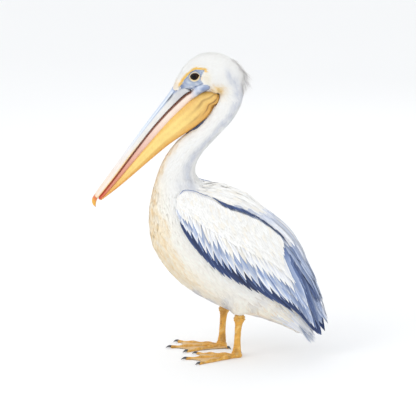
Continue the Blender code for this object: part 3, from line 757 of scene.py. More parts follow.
class Markings:
    """The bird's colours and its painted shade as regions of its body, the same on skin and on plumage."""

    WHITE = paint(255, 254, 251)
    CREAM = paint(253, 243, 220)
    OCHRE = paint(246, 212, 142)
    TAWNY = paint(224, 184, 122)
    # The blue-grey and the slate are painted shade, laid on the white where shadow falls.
    SHADE_BLUE = paint(164, 176, 206)
    SHADE_SLATE = paint(112, 126, 162)
    YELLOW = paint(252, 206, 78)
    FACE_BLUE = paint(172, 184, 206)
    CHALK = 1.0

    def __init__(self) -> None:
        """Keep the body's axis at hand."""
        self.form = BodyForm(BODY_STATIONS)

    def axis(self, points: Array) -> tuple[Array, Array]:
        """Station numbers and heights, -1 belly to 1 back, of places on the body."""
        numbers, heights = self.form.locate(points[:, 1:])
        rows = along(self.form.stations, numbers)
        return numbers, heights / np.where(heights > 0, rows[:, 2], rows[:, 3])

    def tint(self, points: Array) -> Array:
        """The colour of the plumage at some places, with its painted shade.

        Args:
            points: Places in the bird's frame.

        Returns:
            A linear colour for each.
        """
        numbers, heights = self.axis(points)
        y, z, low = points[:, 1], points[:, 2], -heights
        wander = ripple(points, 0.06, 3)
        streak = 0.5 + 0.5 * ripple(points * np.array((1.0, 0.6, 0.6)), 0.011, 5)
        uneven = 0.5 + 0.5 * streak
        head = smooth(0.775, 0.80, z)
        # painted shade: blue-grey down the back of the neck
        nape = bell(heights + 0.10 * wander, 0.56, 0.24) * smooth(0.1, 0.9, numbers)
        nape = nape * (1 - smooth(6.2, 7.6, numbers)) * (1 - head)
        # painted shade: blue-grey on the back of the head, under the crest
        cap = bell(np.hypot(y - 0.010, z - 0.800) + 0.004 * wander, 0.086, 0.014)
        cap = cap * head * smooth(0.045, 0.075, y)
        breast = smooth(4.6, 6.2, numbers) * (1 - smooth(12.0, 13.0, numbers)) * smooth(0.0, 0.6, low)
        inner = np.interp(numbers, (3.6, 6.0, 8.0, 10.0, 12.0), (0.62, 0.52, 0.50, 0.54, 0.60))
        outer = np.interp(numbers, (3.6, 7.0, 8.5, 10.0, 12.0), (1.6, 1.5, 1.0, 0.86, 0.80))
        band = smooth(inner - 0.10, inner + 0.20, low + 0.10 * wander) * smooth(3.4, 4.8, numbers)
        band = band * (1 - smooth(outer - 0.05, outer + 0.10, low))
        band = band * (1 - 0.75 * smooth(8.6, 11.0, numbers))
        # painted shade: blue-grey along the lower edge of the breast and belly
        under = smooth(7.4, 9.0, numbers) * smooth(outer - 0.04, outer + 0.08, low + 0.08 * wander)
        # painted shade: slate between the legs, on the near side only, and behind the thigh
        shade_between_legs = bell(y, 0.060, 0.024) * bell(z, 0.176, 0.036) * (points[:, 0] > 0)
        shade_behind_thigh = bell(y, 0.142, 0.009) * bell(z, 0.168, 0.028)
        rump = smooth(11.2, 12.6, numbers)
        # painted shade: blue-grey on the rump just under the wing and along its underside
        rump_shade_rims = (smooth(0.55, 0.95, low) + 0.8 * (1 - smooth(0.1, 0.4, low))).clip(0, 1)
        cheek = bell(y, 0.034, 0.021) * bell(z, 0.808, 0.018)
        temple = bell(y, 0.004, 0.012) * bell(z, 0.842, 0.018)
        root = (1 - smooth(-0.082, -0.070, y)) * (1 - smooth(0.820, 0.836, z)) * head
        return self.CHALK * coats(
            np.broadcast_to(self.WHITE, points.shape),
            (self.SHADE_BLUE, 0.50 * nape * uneven),
            (self.SHADE_BLUE, 0.46 * cap * uneven),
            (self.CREAM, 0.45 * breast),
            (self.OCHRE, 0.62 * band * (0.35 + 0.65 * streak)),
            (self.TAWNY, 0.30 * band * smooth(0.66, 0.95, streak)),
            (self.SHADE_BLUE, 0.62 * under * (0.55 + 0.45 * streak)),
            (self.SHADE_SLATE, 0.55 * np.maximum(shade_between_legs, shade_behind_thigh) * uneven),
            (self.CREAM, 0.5 * rump),
            (self.TAWNY, 0.38 * rump * smooth(0.6, 0.95, streak)),
            (self.SHADE_BLUE, 0.45 * rump * rump_shade_rims * (0.5 + 0.5 * wander)),
            (self.OCHRE, (1.3 * cheek * (0.55 + 0.45 * streak)).clip(0, 0.92)),
            (self.TAWNY, 0.5 * cheek * smooth(0.55, 0.9, streak)),
            (self.CREAM, 0.7 * temple),
            (self.OCHRE, 0.25 * root),
            (self.YELLOW, FacePatch.rim_share(points)))

    def skin_tint(self, points: Array) -> Array:
        """The skin under the plumage: the same markings and painted shade, pinker and a little darker."""
        return self.tint(points) * np.array((0.97, 0.95, 0.94))


class FacePatch:
    """The outline of the bare blue-grey skin round the eye, as seen from the side."""

    CORNERS = (
        # y, z, clockwise from the front
        (-0.0735, 0.8150), (-0.0650, 0.8290), (-0.0530, 0.8440), (-0.0412, 0.8572),
        (-0.0273, 0.8662), (-0.0120, 0.8668), (0.0016, 0.8664), (-0.0040, 0.8560),
        (-0.0092, 0.8440), (-0.0085, 0.8340), (-0.0030, 0.8240), (-0.0160, 0.8160),
        (-0.0342, 0.8080), (-0.0551, 0.7990), (-0.0700, 0.8030),
    )
    OUTLINE = along(CORNERS + CORNERS[:1], np.linspace(0, 15, 61)[:-1])
    LEAST_X = 0.012

    @classmethod
    def depth(cls, points: Array) -> Array:
        """How far inside the outline some places lie, in metres, less than 0 outside."""
        sides = points[:, 1:]
        corners = cls.OUTLINE
        following = np.roll(corners, -1, axis=0)
        inside = np.zeros(len(sides), dtype=bool)
        nearest = np.full(len(sides), 9.0)
        for first, second in zip(corners, following):
            edge = second - first
            share = np.clip(((sides - first) @ edge) / (edge @ edge), 0, 1)
            gap = np.linalg.norm(sides - (first + share[:, None] * edge), axis=1)
            nearest = np.minimum(nearest, gap)
            spans = (first[1] > sides[:, 1]) != (second[1] > sides[:, 1])
            rise = edge[1] if abs(edge[1]) > 1e-9 else 1e-9
            cross = first[0] + edge[0] * (sides[:, 1] - first[1]) / rise
            inside ^= spans & (sides[:, 0] < cross)
        signed = np.where(inside, nearest, -nearest)
        return np.where(np.abs(points[:, 0]) > cls.LEAST_X, signed, np.minimum(signed, -nearest))

    @classmethod
    def rim_share(cls, points: Array) -> Array:
        """How yellow the feathers just outside the upper and front edges are."""
        gap = -cls.depth(points) + 0.0014 * ripple(points, 0.007, 14)
        reach = 0.0068 + 0.0030 * smooth(-0.05, -0.075, points[:, 1])
        near = (1 - smooth(0.25 * reach, reach, gap)) * (gap > -0.004)
        upper = smooth(0.806, 0.822, points[:, 2]) * (1 - smooth(0.002, 0.012, points[:, 1]))
        rear = smooth(-0.012, -0.006, points[:, 1]) * (1 - smooth(0.856, 0.864, points[:, 2]))
        return 0.95 * near * upper * (1 - rear)


@dataclass
class Skin:
    """One seamless skin over head, neck, trunk, rump and thighs."""

    bench: Workbench
    markings: Markings

    NODES = ("head", "neck_upper", "neck_middle", "neck_lower", "trunk", "rump",
             "thigh_left", "thigh_right")
    DEPTHS = ((0, 1, 4, 6, 9, 13, 15),     # stations, and the plumage's depth at each
              (0.0024, 0.003, 0.003, 0.005, 0.007, 0.006, 0.004))
    CHEEK_PAD = (0.0130, 0.0180, 0.0162)
    CHIN_PAD = (0.0235, 0.0230, 0.0180)
    OVERLAP = 0.0006
    VOXEL = 0.0036

    def coat_depth(self, points: Array) -> Array:
        """How thick the plumage is over the skin."""
        numbers, _ = self.markings.axis(points)
        depth = np.interp(numbers, self.DEPTHS[0], self.DEPTHS[1])
        head = smooth(0.785, 0.815, points[:, 2])
        depth = depth * (1 - head) + 0.0018 * head
        bare = smooth(-0.004, 0.003, FacePatch.depth(points))
        leg = (1 - smooth(0.13, 0.17, points[:, 2]))
        return (depth * (1 - bare) + 0.0014 * bare) * (1 - 0.45 * leg)

    def pad(self, place: tuple[float, float, float], size: tuple[float, float, float]) -> bpy.types.Object:
        """One soft rounded pad of flesh, to be joined to the rest."""
        self.bench.deselect()
        bpy.ops.mesh.primitive_uv_sphere_add(segments=24, ring_count=14, radius=1.0,
                                             location=tuple(self.bench.origin + np.array(place)))
        made = bpy.context.object
        made.scale = size
        bpy.ops.object.transform_apply(location=True, rotation=True, scale=True)
        return made

    @staticmethod
    def socket_dip(points: Array) -> Array:
        """How deep the skin dips at each place to make room for the eyes."""
        away = np.hypot(points[:, 1] - Face.eye_y, points[:, 2] - Face.eye_z)
        return 0.011 * (1 - smooth(0.0120, 0.0182, away)) * (np.abs(points[:, 0]) > 0.012)

    def build(self) -> bpy.types.Object:
        """Join copies of the flesh, close them over, smooth them and sink them."""
        copies = []
        for node in self.NODES:
            copy = bpy.data.objects.new(node + "_copy", bpy.data.objects[node].data.copy())
            bpy.context.scene.collection.objects.link(copy)
            self.bench.pick(copy)
            with self.bench.editing():
                bpy.ops.mesh.remove_doubles(threshold=0.00002)
                bpy.ops.mesh.normals_make_consistent(inside=False)
                bpy.ops.transform.shrink_fatten(value=self.OVERLAP)
            copies.append(copy)
        for side in Side:
            copies.append(self.pad((side.value * 0.0195, 0.0325, 0.8075), self.CHEEK_PAD))
        copies.append(self.pad((0.0, 0.012, 0.8085), self.CHIN_PAD))
        self.bench.pick(*copies)
        bpy.ops.object.join()
        skin = bpy.context.object
        skin.name = skin.data.name = "skin"
        self.bench.apply(skin, "REMESH", mode="VOXEL", voxel_size=self.VOXEL)
        self.bench.apply(skin, "SMOOTH", factor=0.5, iterations=8)
        points = self.bench.points_of(skin)
        normals = self.bench.read(skin.data, "normal")
        sunk = points - normals * (self.coat_depth(points) + self.OVERLAP)[:, None]
        sunk[:, 0] -= np.sign(sunk[:, 0]) * self.socket_dip(sunk)
        skin.data.vertices.foreach_set("co", (sunk + self.bench.origin).ravel())
        skin.data.update()
        self.bench.pick(skin)
        bpy.ops.object.shade_smooth()
        tint = self.markings.skin_tint(sunk)
        depth = FacePatch.depth(sunk)
        low = (sunk[:, 2] < 0.814) & (sunk[:, 1] < -0.010)
        bare = np.where(low, smooth(-0.0075, -0.004, depth), smooth(-0.001, 0.001, depth))
        tint = mix(tint, Markings.FACE_BLUE, bare)
        return self.bench.finish_piece(skin, FLESH, tint, self.NODES)


class Terrain:
    """The finished skin as a surface to lay feathers on."""

    def __init__(self, bench: Workbench, skin: bpy.types.Object) -> None:
        """Read the skin's mesh once."""
        mesh = skin.data
        self.points = bench.points_of(skin)
        mesh.calc_loop_triangles()
        corners = np.empty(len(mesh.loop_triangles) * 3, dtype=np.int64)
        mesh.loop_triangles.foreach_get("vertices", corners)
        self.faces = corners.reshape(-1, 3)
        self.normals = bench.read(mesh, "normal")
        self.tree = BVHTree.FromPolygons([Vector(p) for p in self.points], self.faces.tolist())

    def scatter(self, spacing: float, keep: Callable[[Array], Array], seed: int) -> Array:
        """Even random places on the skin.

        Args:
            spacing: The distance between neighbours.
            keep: Says which places are wanted.
            seed: For the random numbers.

        Returns:
            The places kept.
        """
        rng = np.random.default_rng(seed)
        corners = self.points[self.faces]
        start = corners[:, 0]
        first_edge, second_edge = corners[:, 1] - start, corners[:, 2] - start
        area = np.linalg.norm(np.cross(first_edge, second_edge), axis=1) / 2
        area = np.where(keep(corners.mean(1)), area, 0.0)
        if area.sum() <= 0:
            return np.empty((0, 3))
        count = int(5 * area.sum() / spacing ** 2)
        picks = rng.choice(len(area), count, p=area / area.sum())
        first, second = rng.random(count), rng.random(count)
        flip = first + second > 1
        first, second = np.where(flip, 1 - first, first), np.where(flip, 1 - second, second)
        spots = start[picks] + first[:, None] * first_edge[picks] + second[:, None] * second_edge[picks]
        spots = spots[keep(spots)]
        cells = np.floor(spots / (spacing * 0.92)).astype(np.int64)
        _, chosen = np.unique(cells, axis=0, return_index=True)
        return spots[np.sort(chosen)]

    def settle(self, points: Array) -> tuple[Array, Array]:
        """The nearest places of the skin, and the smooth directions out of it there."""
        spots, normals = np.empty_like(points), np.empty_like(points)
        for row, point in enumerate(points):
            place, _, face, _ = self.tree.find_nearest(Vector(point))
            spots[row] = place
            normals[row] = self.normals[self.faces[face]].sum(0)
        return spots, unit(normals)


@dataclass(frozen=True)
class CoatPatch:
    """One stretch of the body plumage and the size and stance of its feathers.

    Attributes:
        name: Name of the piece.
        spacing: Distance between roots.
        length: Length of a feather.
        width: Its full width.
        stand: Height of the tips above the skin, on top of the plumage's depth.
        jitter: How unruly the feathers are.
        shape: Their outline.
        vary: How much one feather's tint differs from the next.
    """

    name: str
    spacing: float
    length: float
    width: float
    stand: float
    jitter: float
    shape: VaneShape
    vary: float = 0.06


HAIRY = VaneShape(rows=5, columns=(-1.0, 0.0, 1.0), fray=(0.10, 0.0, 0.06), shoulder=0.25, point=1.1,
                  camber=0.12)
SOFT = VaneShape(rows=6, columns=(-1.0, -0.5, 0.0, 0.5, 1.0), shoulder=0.42, point=1.5, camber=0.10)


class Region(IntEnum):
    """The regions of the coat, in the order of its patches."""

    HEAD = 0
    NECK = 1
    BREAST = 2
    BELLY = 3
    BACK = 4
    RUMP = 5
    THIGHS = 6


class Coat:
    """The contour feathers of head, neck, trunk, rump and thighs."""

    PATCHES = (
        CoatPatch("plumage_head", 0.0025, 0.0125, 0.0026, 0.0002, 0.10, HAIRY, 0.02),
        CoatPatch("plumage_neck", 0.0036, 0.0230, 0.0042, 0.0003, 0.10, HAIRY, 0.02),
        CoatPatch("plumage_breast", 0.0054, 0.0400, 0.0066, 0.0006, 0.12, SOFT, 0.03),
        CoatPatch("plumage_belly", 0.0060, 0.0430, 0.0076, 0.0008, 0.14, SOFT, 0.03),
        CoatPatch("plumage_back", 0.0070, 0.0340, 0.0095, 0.0005, 0.12, SOFT, 0.03),
        CoatPatch("plumage_rump", 0.0060, 0.0400, 0.0078, 0.0006, 0.14, SOFT, 0.04),
        CoatPatch("plumage_thighs", 0.0048, 0.0270, 0.0064, 0.0010, 0.20, SOFT, 0.03),
    )
    CLEAR = 0.001                          # a start just off the skin
    WING_GAP, BILL_GAP = 0.07, 0.0035      # how far off a wing or the bill still hides a feather

    def __init__(self, bench: Workbench, markings: Markings, terrain: Terrain, skin: Skin) -> None:
        """Work at a bench on a finished skin."""
        self.bench = bench
        self.markings = markings
        self.terrain = terrain
        self.skin = skin
        self.plumage = Plumage(bench)
        wings = ["wing_%s_%s" % (side.word, part) for side in Side
                 for part in ("coverts", "secondaries", "primaries")]
        self.cover = bench.node_tree(*wings, "scapulars")
        self.bill = bench.node_tree("upper_bill", "lower_jaw", "pouch_skin_bag")

    def region(self, points: Array) -> Array:
        """Which region of the coat each place belongs to."""
        numbers, heights = self.markings.axis(points)
        y, z = points[:, 1], points[:, 2]
        blurred = numbers + 0.35 * ripple(points, 0.008, 17)
        made = np.full(len(points), Region.BELLY)
        made[blurred < 9.2] = Region.BREAST
        made[(blurred > 6.3) & (heights > 0.25)] = Region.BACK
        made[blurred < 6.0] = Region.NECK
        made[blurred > 12.2] = Region.RUMP
        made[(z > 0.790) & (y < 0.20)] = Region.HEAD
        for side, heel in HEEL_Y.items():
            reach = np.hypot((points[:, 0] - side.value * 0.057) / 0.046, (y - heel + 0.004) / 0.058)
            made[(reach < 1) & (z < 0.215) & (heights < -0.35)] = Region.THIGHS
        return made

    def flow(self, points: Array, regions: Array) -> Array:
        """The way the feathers lie: from the bill over the head and down the body."""
        numbers, _ = self.markings.axis(points)
        y, z = points[:, 1], points[:, 2]
        near = self.markings.form.numbers.searchsorted(numbers).clip(0, len(self.markings.form.ahead) - 1)
        body = self.markings.form.ahead[near]
        turn = np.arctan2(z - 0.828, y - 0.004)
        over = np.stack((np.sin(turn), -np.cos(turn)), axis=1)
        low = np.broadcast_to(np.array((0.80, -0.55)), over.shape)
        upper = smooth(0.812, 0.842, z)[:, None]
        crown = over * upper + low * (1 - upper)
        share = smooth(0.770, 0.800, z)[:, None]
        sides = unit(crown * share + body * (1 - share))
        way = np.concatenate((np.zeros((len(points), 1)), sides), axis=1)
        leg = regions == Region.THIGHS
        way[leg] = unit(np.array((0.0, 0.30, -1.0)) + 0.25 * way[leg])
        flank = (regions == Region.BREAST) | (regions == Region.BELLY)
        way[flank, 0] += 0.10 * np.sign(points[flank, 0])
        return way

    def hidden(self, spots: Array, normals: Array, way: Array, reach: float) -> Array:
        """Which feathers would lie wholly under the folded wings or inside the bill."""
        made = np.zeros(len(spots), dtype=bool)
        for row, (spot, normal, lie) in enumerate(zip(spots, normals, way)):
            up, start, lie = Vector(normal), Vector(spot), Vector(lie)

            def under_wing(place: Vector) -> bool:
                """Whether a wing lies over a place."""
                return self.cover.ray_cast(place + up * self.CLEAR, up, self.WING_GAP)[0] is not None

            behind_neck = not (spot[1] < 0.004 and spot[2] > 0.49)
            if behind_neck and under_wing(start) and under_wing(start + lie * reach):
                made[row] = under_wing(start - lie * 0.012)
            elif self.bill.ray_cast(start + up * 0.2 * self.CLEAR, up, self.BILL_GAP)[0] is not None:
                made[row] = True
        return made

    def grow(self, patch: CoatPatch, region: Region) -> bpy.types.Object:
        """Lay one patch of the coat."""
        rng = np.random.default_rng(40 + region)

        def wanted(points: Array) -> Array:
            """Places of this patch that aren't bare."""
            here = self.region(points) == region
            if region is Region.HEAD:
                here &= FacePatch.depth(points) < 0.0004
            leg = (np.abs(points[:, 0]) < 0.105) & (points[:, 1] < 0.165)
            return here & (points[:, 2] > np.where(leg, 0.146, 0.06))

        roots = self.terrain.scatter(patch.spacing, wanted, 60 + region)
        _, normals = self.terrain.settle(roots)
        way = self.flow(roots, np.full(len(roots), region))
        way = unit(way + patch.jitter * rng.normal(size=way.shape) * 0.6)
        way = unit(way - normals * (way * normals).sum(1, keepdims=True))
        shown = ~self.hidden(roots, normals, way, patch.length)
        roots, normals, way = roots[shown], normals[shown], way[shown]
        count, rows = len(roots), patch.shape.rows
        length = patch.length * rng.uniform(0.80, 1.15, count)
        half = np.full(count, patch.width / 2) * rng.uniform(0.8, 1.2, count)
        numbers, heights = self.markings.axis(roots)
        scale = np.ones(count)
        if region is Region.HEAD:
            scale = 0.55 + 0.45 * smooth(0.002, 0.02, -FacePatch.depth(roots))
            scale = scale * (0.45 + 0.55 * smooth(-0.084, -0.058, roots[:, 1]))
        elif region is Region.NECK:
            scale = 1 + 0.40 * smooth(4.6, 6.2, numbers)
        elif region in (Region.BREAST, Region.BACK):
            scale = 0.72 + 0.28 * smooth(5.8, 7.6, numbers)
        elif region is Region.THIGHS:
            scale = np.minimum((roots[:, 2] - 0.132) / 0.9 / length, 1.0)
        length = length * scale
        half = half * (0.4 + 0.6 * scale)
        depth = self.skin.coat_depth(roots)
        paths = np.empty((count, rows, 3))
        outward = np.empty((count, rows, 3))
        stand = patch.stand * rng.uniform(-0.3, 1.3, count)
        place, normal = roots, normals
        for row in range(rows):
            part = row / (rows - 1)
            if row:
                place, normal = self.terrain.settle(place + way * (length / (rows - 1))[:, None])
                way = unit(way - normal * (way * normal).sum(1, keepdims=True))
            rise = depth * (-0.30 + 1.15 * (1 - (1 - part) ** 2.2)) + stand * part ** 2
            paths[:, row] = place + normal * rise[:, None]
            outward[:, row] = normal
        tint = self.markings.tint(roots)
        tint = tint * (1 + patch.vary * rng.normal(size=(count, 1)).clip(-2, 2))
        part = np.linspace(0, 1, rows)[None, :, None, None]
        # painted shade: each feather a little darker towards its root, where the ones above it overlap
        tints = tint[:, None, None] * (0.97 + 0.03 * smooth(0.1, 0.7, part))
        tints = np.repeat(tints, len(patch.shape.columns), axis=2)
        plumes = Plumes(paths, outward, half, tints, patch.shape)
        turn = np.arctan2(roots[:, 0], heights * 0.05)
        spots = np.stack((turn, numbers - 0.02 * roots[:, 1]), axis=1)
        return self.plumage.piece(patch.name, [(plumes, spots)], DOWN)

    def build(self) -> None:
        """Lay every patch."""
        for region, patch in zip(Region, self.PATCHES):
            self.grow(patch, region)


# ---------------------------------------------------------------- wings
@dataclass(frozen=True)
class VaneTint:
    """The colours of one kind of large feather.

    Attributes:
        base: The middle of the vane.
        edge: Its borders.
        tip: Its end.
        root: Its hidden start.
        edge_from: Where the border begins, 0 at the shaft to 1 at the edge.
        tip_from: Where the end begins, 0 at the root to 1 at the tip.
        vary: How much one feather differs from the next.
        stray: Another colour that some of the feathers lean to.
        strays: The share of feathers that do.
    """

    base: Colour
    edge: Colour
    tip: Colour
    root: Colour
    edge_from: float = 0.62
    tip_from: float = 0.86
    vary: float = 0.07
    stray: Colour = (1.0, 1.0, 1.0)
    strays: float = 0.0

    def tints(self, count: int, shape: VaneShape, rng: np.random.Generator) -> Array:
        """Colours for every point of a batch of feathers."""
        part = np.linspace(0.0, 1.0, shape.rows)[None, :, None]
        across = np.abs(shape.columns)[None, None, :]
        edge = smooth(self.edge_from - 0.12, self.edge_from + 0.12, across) * smooth(0.15, 0.45, part)
        tip = smooth(self.tip_from - 0.06, self.tip_from + 0.06, part)
        shaft = (1 - smooth(0.0, 0.12, across)) * smooth(0.1, 0.3, part) * (1 - smooth(0.7, 0.95, part))
        made = np.broadcast_to(self.base, (count, shape.rows, len(shape.columns), 3))
        made = mix(made, self.root, 1 - smooth(0.0, 0.35, part)) * (1 - 0.12 * shaft[..., None])
        odd = (rng.random(count) < self.strays) * rng.uniform(0.15, 0.7, count)
        made = coats(made, (self.edge, edge), (self.tip, tip), (self.stray, odd[:, None, None]))
        return made * (1 + self.vary * rng.normal(size=(count, 1, 1, 1)).clip(-2, 2))


@dataclass(frozen=True)
class FeatherRow:
    """One row of feathers on a folded wing, in the wing's own coordinates.

    Attributes:
        count: Number of feathers.
        far: Where the first and the last root lie along the wing.
        root: Where the roots lie across it, first and last.
        slant: How far along the wing a feather leads to the rear, first and last.
        tip: Where the tips lie across the wing, first and last.
        width: Full width, first and last.
        lift: Height of roots and tips above the wing's form.
        shape: Outline.
        tint: Colours.
        bow: How much the feather bows, as a share of its slant.
    """

    count: int
    far: tuple[float, float]
    root: tuple[float, float]
    slant: tuple[float, float]
    tip: tuple[float, float]
    width: tuple[float, float]
    lift: tuple[float, float]
    shape: VaneShape
    tint: VaneTint
    bow: float = 0.25


SNOW = paint(251, 250, 247)
IVORY = paint(246, 239, 225)
SILK = paint(238, 240, 246)
PEARL = paint(203, 212, 230)
DOVE = paint(156, 172, 205)
STEEL = paint(90, 112, 160)
NAVY = paint(40, 60, 108)
INK = paint(20, 31, 62)

SEVEN = (-1.0, -0.8, -0.4, 0.0, 0.4, 0.8, 1.0)
TIDY = (0.03, 0.01, 0.0, 0.0, 0.0, 0.01, 0.03)
SMALL = VaneShape(6, (-1.0, -0.55, 0.0, 0.55, 1.0), 0.5, 0.40, 1.9, (0.05, 0.03, 0.0, 0.03, 0.05),
                  0.25, 0.10)
COVER = VaneShape(9, SEVEN, 0.5, 0.50, 2.0, (0.05, 0.02, 0.01, 0.0, 0.01, 0.02, 0.05), 0.22, 0.12)
LONG = VaneShape(13, SEVEN, 0.5, 0.62, 1.9, TIDY, 0.20, 0.14)
LANCET = VaneShape(10, SEVEN, 0.6, 0.34, 1.3, TIDY, 0.22, 0.12)
BLADE = VaneShape(13, SEVEN, 0.5, 0.52, 1.5, TIDY, 0.20, 0.14)

WHITE_COVERT = VaneTint(SNOW, SNOW, SNOW, SILK, 0.7, 0.9, 0.03, IVORY, 0.22)
TOOTH_COVERT = VaneTint(SILK, SNOW, SNOW, DOVE, 0.45, 0.80, 0.04, IVORY, 0.40)
MEDIAN_COVERT = VaneTint(SILK, SNOW, SNOW, STEEL, 0.50, 0.85, 0.04, IVORY, 0.40)
UNDER_COVERT = VaneTint(DOVE, PEARL, PEARL, STEEL, 0.75, 0.95, 0.08, STEEL, 0.35)
GREATER_COVERT = VaneTint(PEARL, SNOW, SNOW, STEEL, 0.60, 0.90, 0.05, DOVE, 0.35)
DEEP_COVERT = VaneTint(STEEL, DOVE, DOVE, NAVY, 0.80, 0.97, 0.10, NAVY, 0.3)
SECONDARY = VaneTint(NAVY, STEEL, STEEL, INK, 0.84, 0.96, 0.12, INK, 0.3)
PRIMARY = VaneTint(NAVY, STEEL, NAVY, INK, 0.85, 0.97, 0.14, INK, 0.3)
TERTIAL = VaneTint(DOVE, PEARL, SNOW, STEEL, 0.66, 0.93, 0.10, STEEL, 0.4)
REAR_COVERT = VaneTint(DOVE, PEARL, SNOW, STEEL, 0.62, 0.93, 0.10, STEEL, 0.5)
# blue-grey tertials darkened by painted shade, for where they lie in the shadow between the wings and the
# back
TERTIAL_IN_PAINTED_SHADE = VaneTint(STEEL, DOVE, DOVE, INK, 0.80, 0.95, 0.12, NAVY, 0.4)
# painted shadow: ink-dark vanes that fill the shadowed gap between a wing's upper rear edge and the back
GAP_PAINTED_SHADOW = VaneTint(INK, NAVY, NAVY, INK, 0.8, 0.9, 0.10)
# painted shadow: navy vanes for the dark line along a wing's upper edge
EDGE_PAINTED_SHADOW = VaneTint(NAVY, STEEL, STEEL, STEEL, 0.7, 0.95, 0.15, INK, 0.5)


class FoldedWing:
    """One folded wing, feather by feather, over a smooth arm."""

    FLIGHT_ROWS = (
        FeatherRow(9, (0.60, 0.93), (0.56, 0.62), (0.30, 0.055), (0.94, 1.02), (0.020, 0.022),
                   (0.0015, 0.0035), BLADE, PRIMARY),
        FeatherRow(25, (0.055, 0.82), (0.66, 0.62), (0.100, 0.130), (1.04, 1.02), (0.019, 0.024),
                   (0.0058, 0.0078), BLADE, SECONDARY, 0.3),
    )
    GREAT_ROWS = (
        FeatherRow(23, (0.010, 0.84), (0.44, 0.52), (0.030, 0.070), (0.88, 0.96), (0.019, 0.025),
                   (0.0090, 0.0104), LANCET, DEEP_COVERT),
        FeatherRow(7, (0.60, 0.83), (0.38, 0.40), (0.070, 0.050), (0.92, 0.95), (0.022, 0.026),
                   (0.0110, 0.0122), LANCET, REAR_COVERT),
        FeatherRow(16, (0.006, 0.62), (0.38, 0.44), (0.030, 0.060), (0.85, 0.91), (0.022, 0.026),
                   (0.0112, 0.0126), LANCET, GREATER_COVERT),
        FeatherRow(7, (0.60, 0.82), (0.28, 0.30), (0.070, 0.050), (0.76, 0.80), (0.020, 0.024),
                   (0.0126, 0.0136), LANCET, REAR_COVERT),
        FeatherRow(19, (0.006, 0.63), (0.32, 0.36), (0.026, 0.055), (0.72, 0.78), (0.016, 0.021),
                   (0.0132, 0.0142), LANCET, UNDER_COVERT),
        FeatherRow(6, (0.62, 0.79), (0.08, 0.12), (0.160, 0.080), (0.46, 0.72), (0.021, 0.025),
                   (0.0140, 0.0160), BLADE, TERTIAL),
        FeatherRow(25, (0.006, 0.72), (0.26, 0.30), (0.022, 0.050), (0.645, 0.68), (0.016, 0.021),
                   (0.0150, 0.0160), LANCET, MEDIAN_COVERT),
        FeatherRow(30, (0.006, 0.75), (0.18, 0.22), (0.018, 0.045), (0.52, 0.54), (0.014, 0.018),
                   (0.0168, 0.0178), LANCET, TOOTH_COVERT),
    )
    # The first rear row is painted shadow in the gap above the wing's upper rear edge; the second holds
    # tertials darkened by painted shade.
    REAR_ROWS = (
        FeatherRow(13, (0.70, 0.955), (-0.16, 0.02), (0.200, 0.030), (0.36, 0.95), (0.023, 0.022),
                   (0.0090, 0.0100), BLADE, GAP_PAINTED_SHADOW),
        FeatherRow(8, (0.72, 0.93), (-0.10, 0.06), (0.200, 0.045), (0.44, 0.90), (0.017, 0.020),
                   (0.0110, 0.0125), BLADE, TERTIAL_IN_PAINTED_SHADE),
    )
    # painted shadow: thin dark feathers along the wing's upper edge, where it meets the mantle
    EDGE_ROWS = (
        FeatherRow(8, (0.34, 0.54), (-0.058, -0.052), (0.105, 0.085), (-0.018, -0.006), (0.0060, 0.0090),
                   (0.0190, 0.0245), BLADE, EDGE_PAINTED_SHADOW, 0.0),
        FeatherRow(9, (0.56, 0.78), (-0.036, -0.040), (0.080, 0.075), (-0.014, 0.016), (0.0040, 0.0045),
                   (0.0190, 0.0240), BLADE, EDGE_PAINTED_SHADOW, 0.0),
    )
    COVERT_ROWS = 9
    TUCK = 0.012          # how far the roots along the upper edge sink
    FRONT_ROLL = 0.085    # share of the wing's length in which its front rolls over

    def __init__(self, bench: Workbench, bed: WingBed, side: Side) -> None:
        """Work at a bench on the form under one wing."""
        self.bench = bench
        self.bed = bed
        self.side = side
        self.plumage = Plumage(bench)
        self.rng = np.random.default_rng(7 if side is Side.LEFT else 8)

    def lay(self, row: FeatherRow) -> tuple[Plumes, Array]:
        """Place one row of feathers.

        Args:
            row: The row.

        Returns:
            The feathers and the places of their roots on the wing's unwrap.
        """
        share = np.linspace(0.0, 1.0, row.count)
        ease = share + self.rng.normal(size=row.count) * 0.18 / row.count

        def between(limits: tuple[float, float]) -> Array:
            """Run evenly from the first feather's value to the last one's."""
            return limits[0] + (limits[1] - limits[0]) * share

        far = row.far[0] + (row.far[1] - row.far[0]) * ease
        root, slant, tip = between(row.root), between(row.slant), between(row.tip)
        tip = tip + self.rng.normal(size=row.count) * 0.010
        part = np.linspace(0.0, 1.0, row.shape.rows)[None, :]
        bow = row.bow * slant[:, None] * np.sin(math.pi * part)
        path_far = np.minimum(far[:, None] + slant[:, None] * part - bow * 0.5, 0.992)
        path_across = root[:, None] + (tip - root)[:, None] * part
        lift = row.lift[0] + (row.lift[1] - row.lift[0]) * part
        tucked = smooth(0.0, 1.0, (0.10 - root[:, None]) / 0.06) * (1 - smooth(0.0, 0.32, part))
        lift = lift - self.TUCK * tucked
        lift = lift + (self.rng.normal(size=row.count) * 0.0003)[:, None]
        lift = self.rolled(lift, path_far, path_across)
        paths = self.bed.point(path_far, path_across, lift, self.side)
        along_wing = self.bed.point(path_far + 0.004, path_across, lift, self.side) - paths
        across_wing = self.bed.point(path_far, path_across + 0.02, lift, self.side) - paths
        outward = unit(np.cross(across_wing, along_wing)) * self.side.value
        half = between(row.width) / 2 * self.rng.uniform(0.94, 1.06, row.count)
        tints = row.tint.tints(row.count, row.shape, self.rng)
        spots = np.stack((path_far[:, 0], root), axis=1)
        return Plumes(paths, outward, half, tints, row.shape), spots

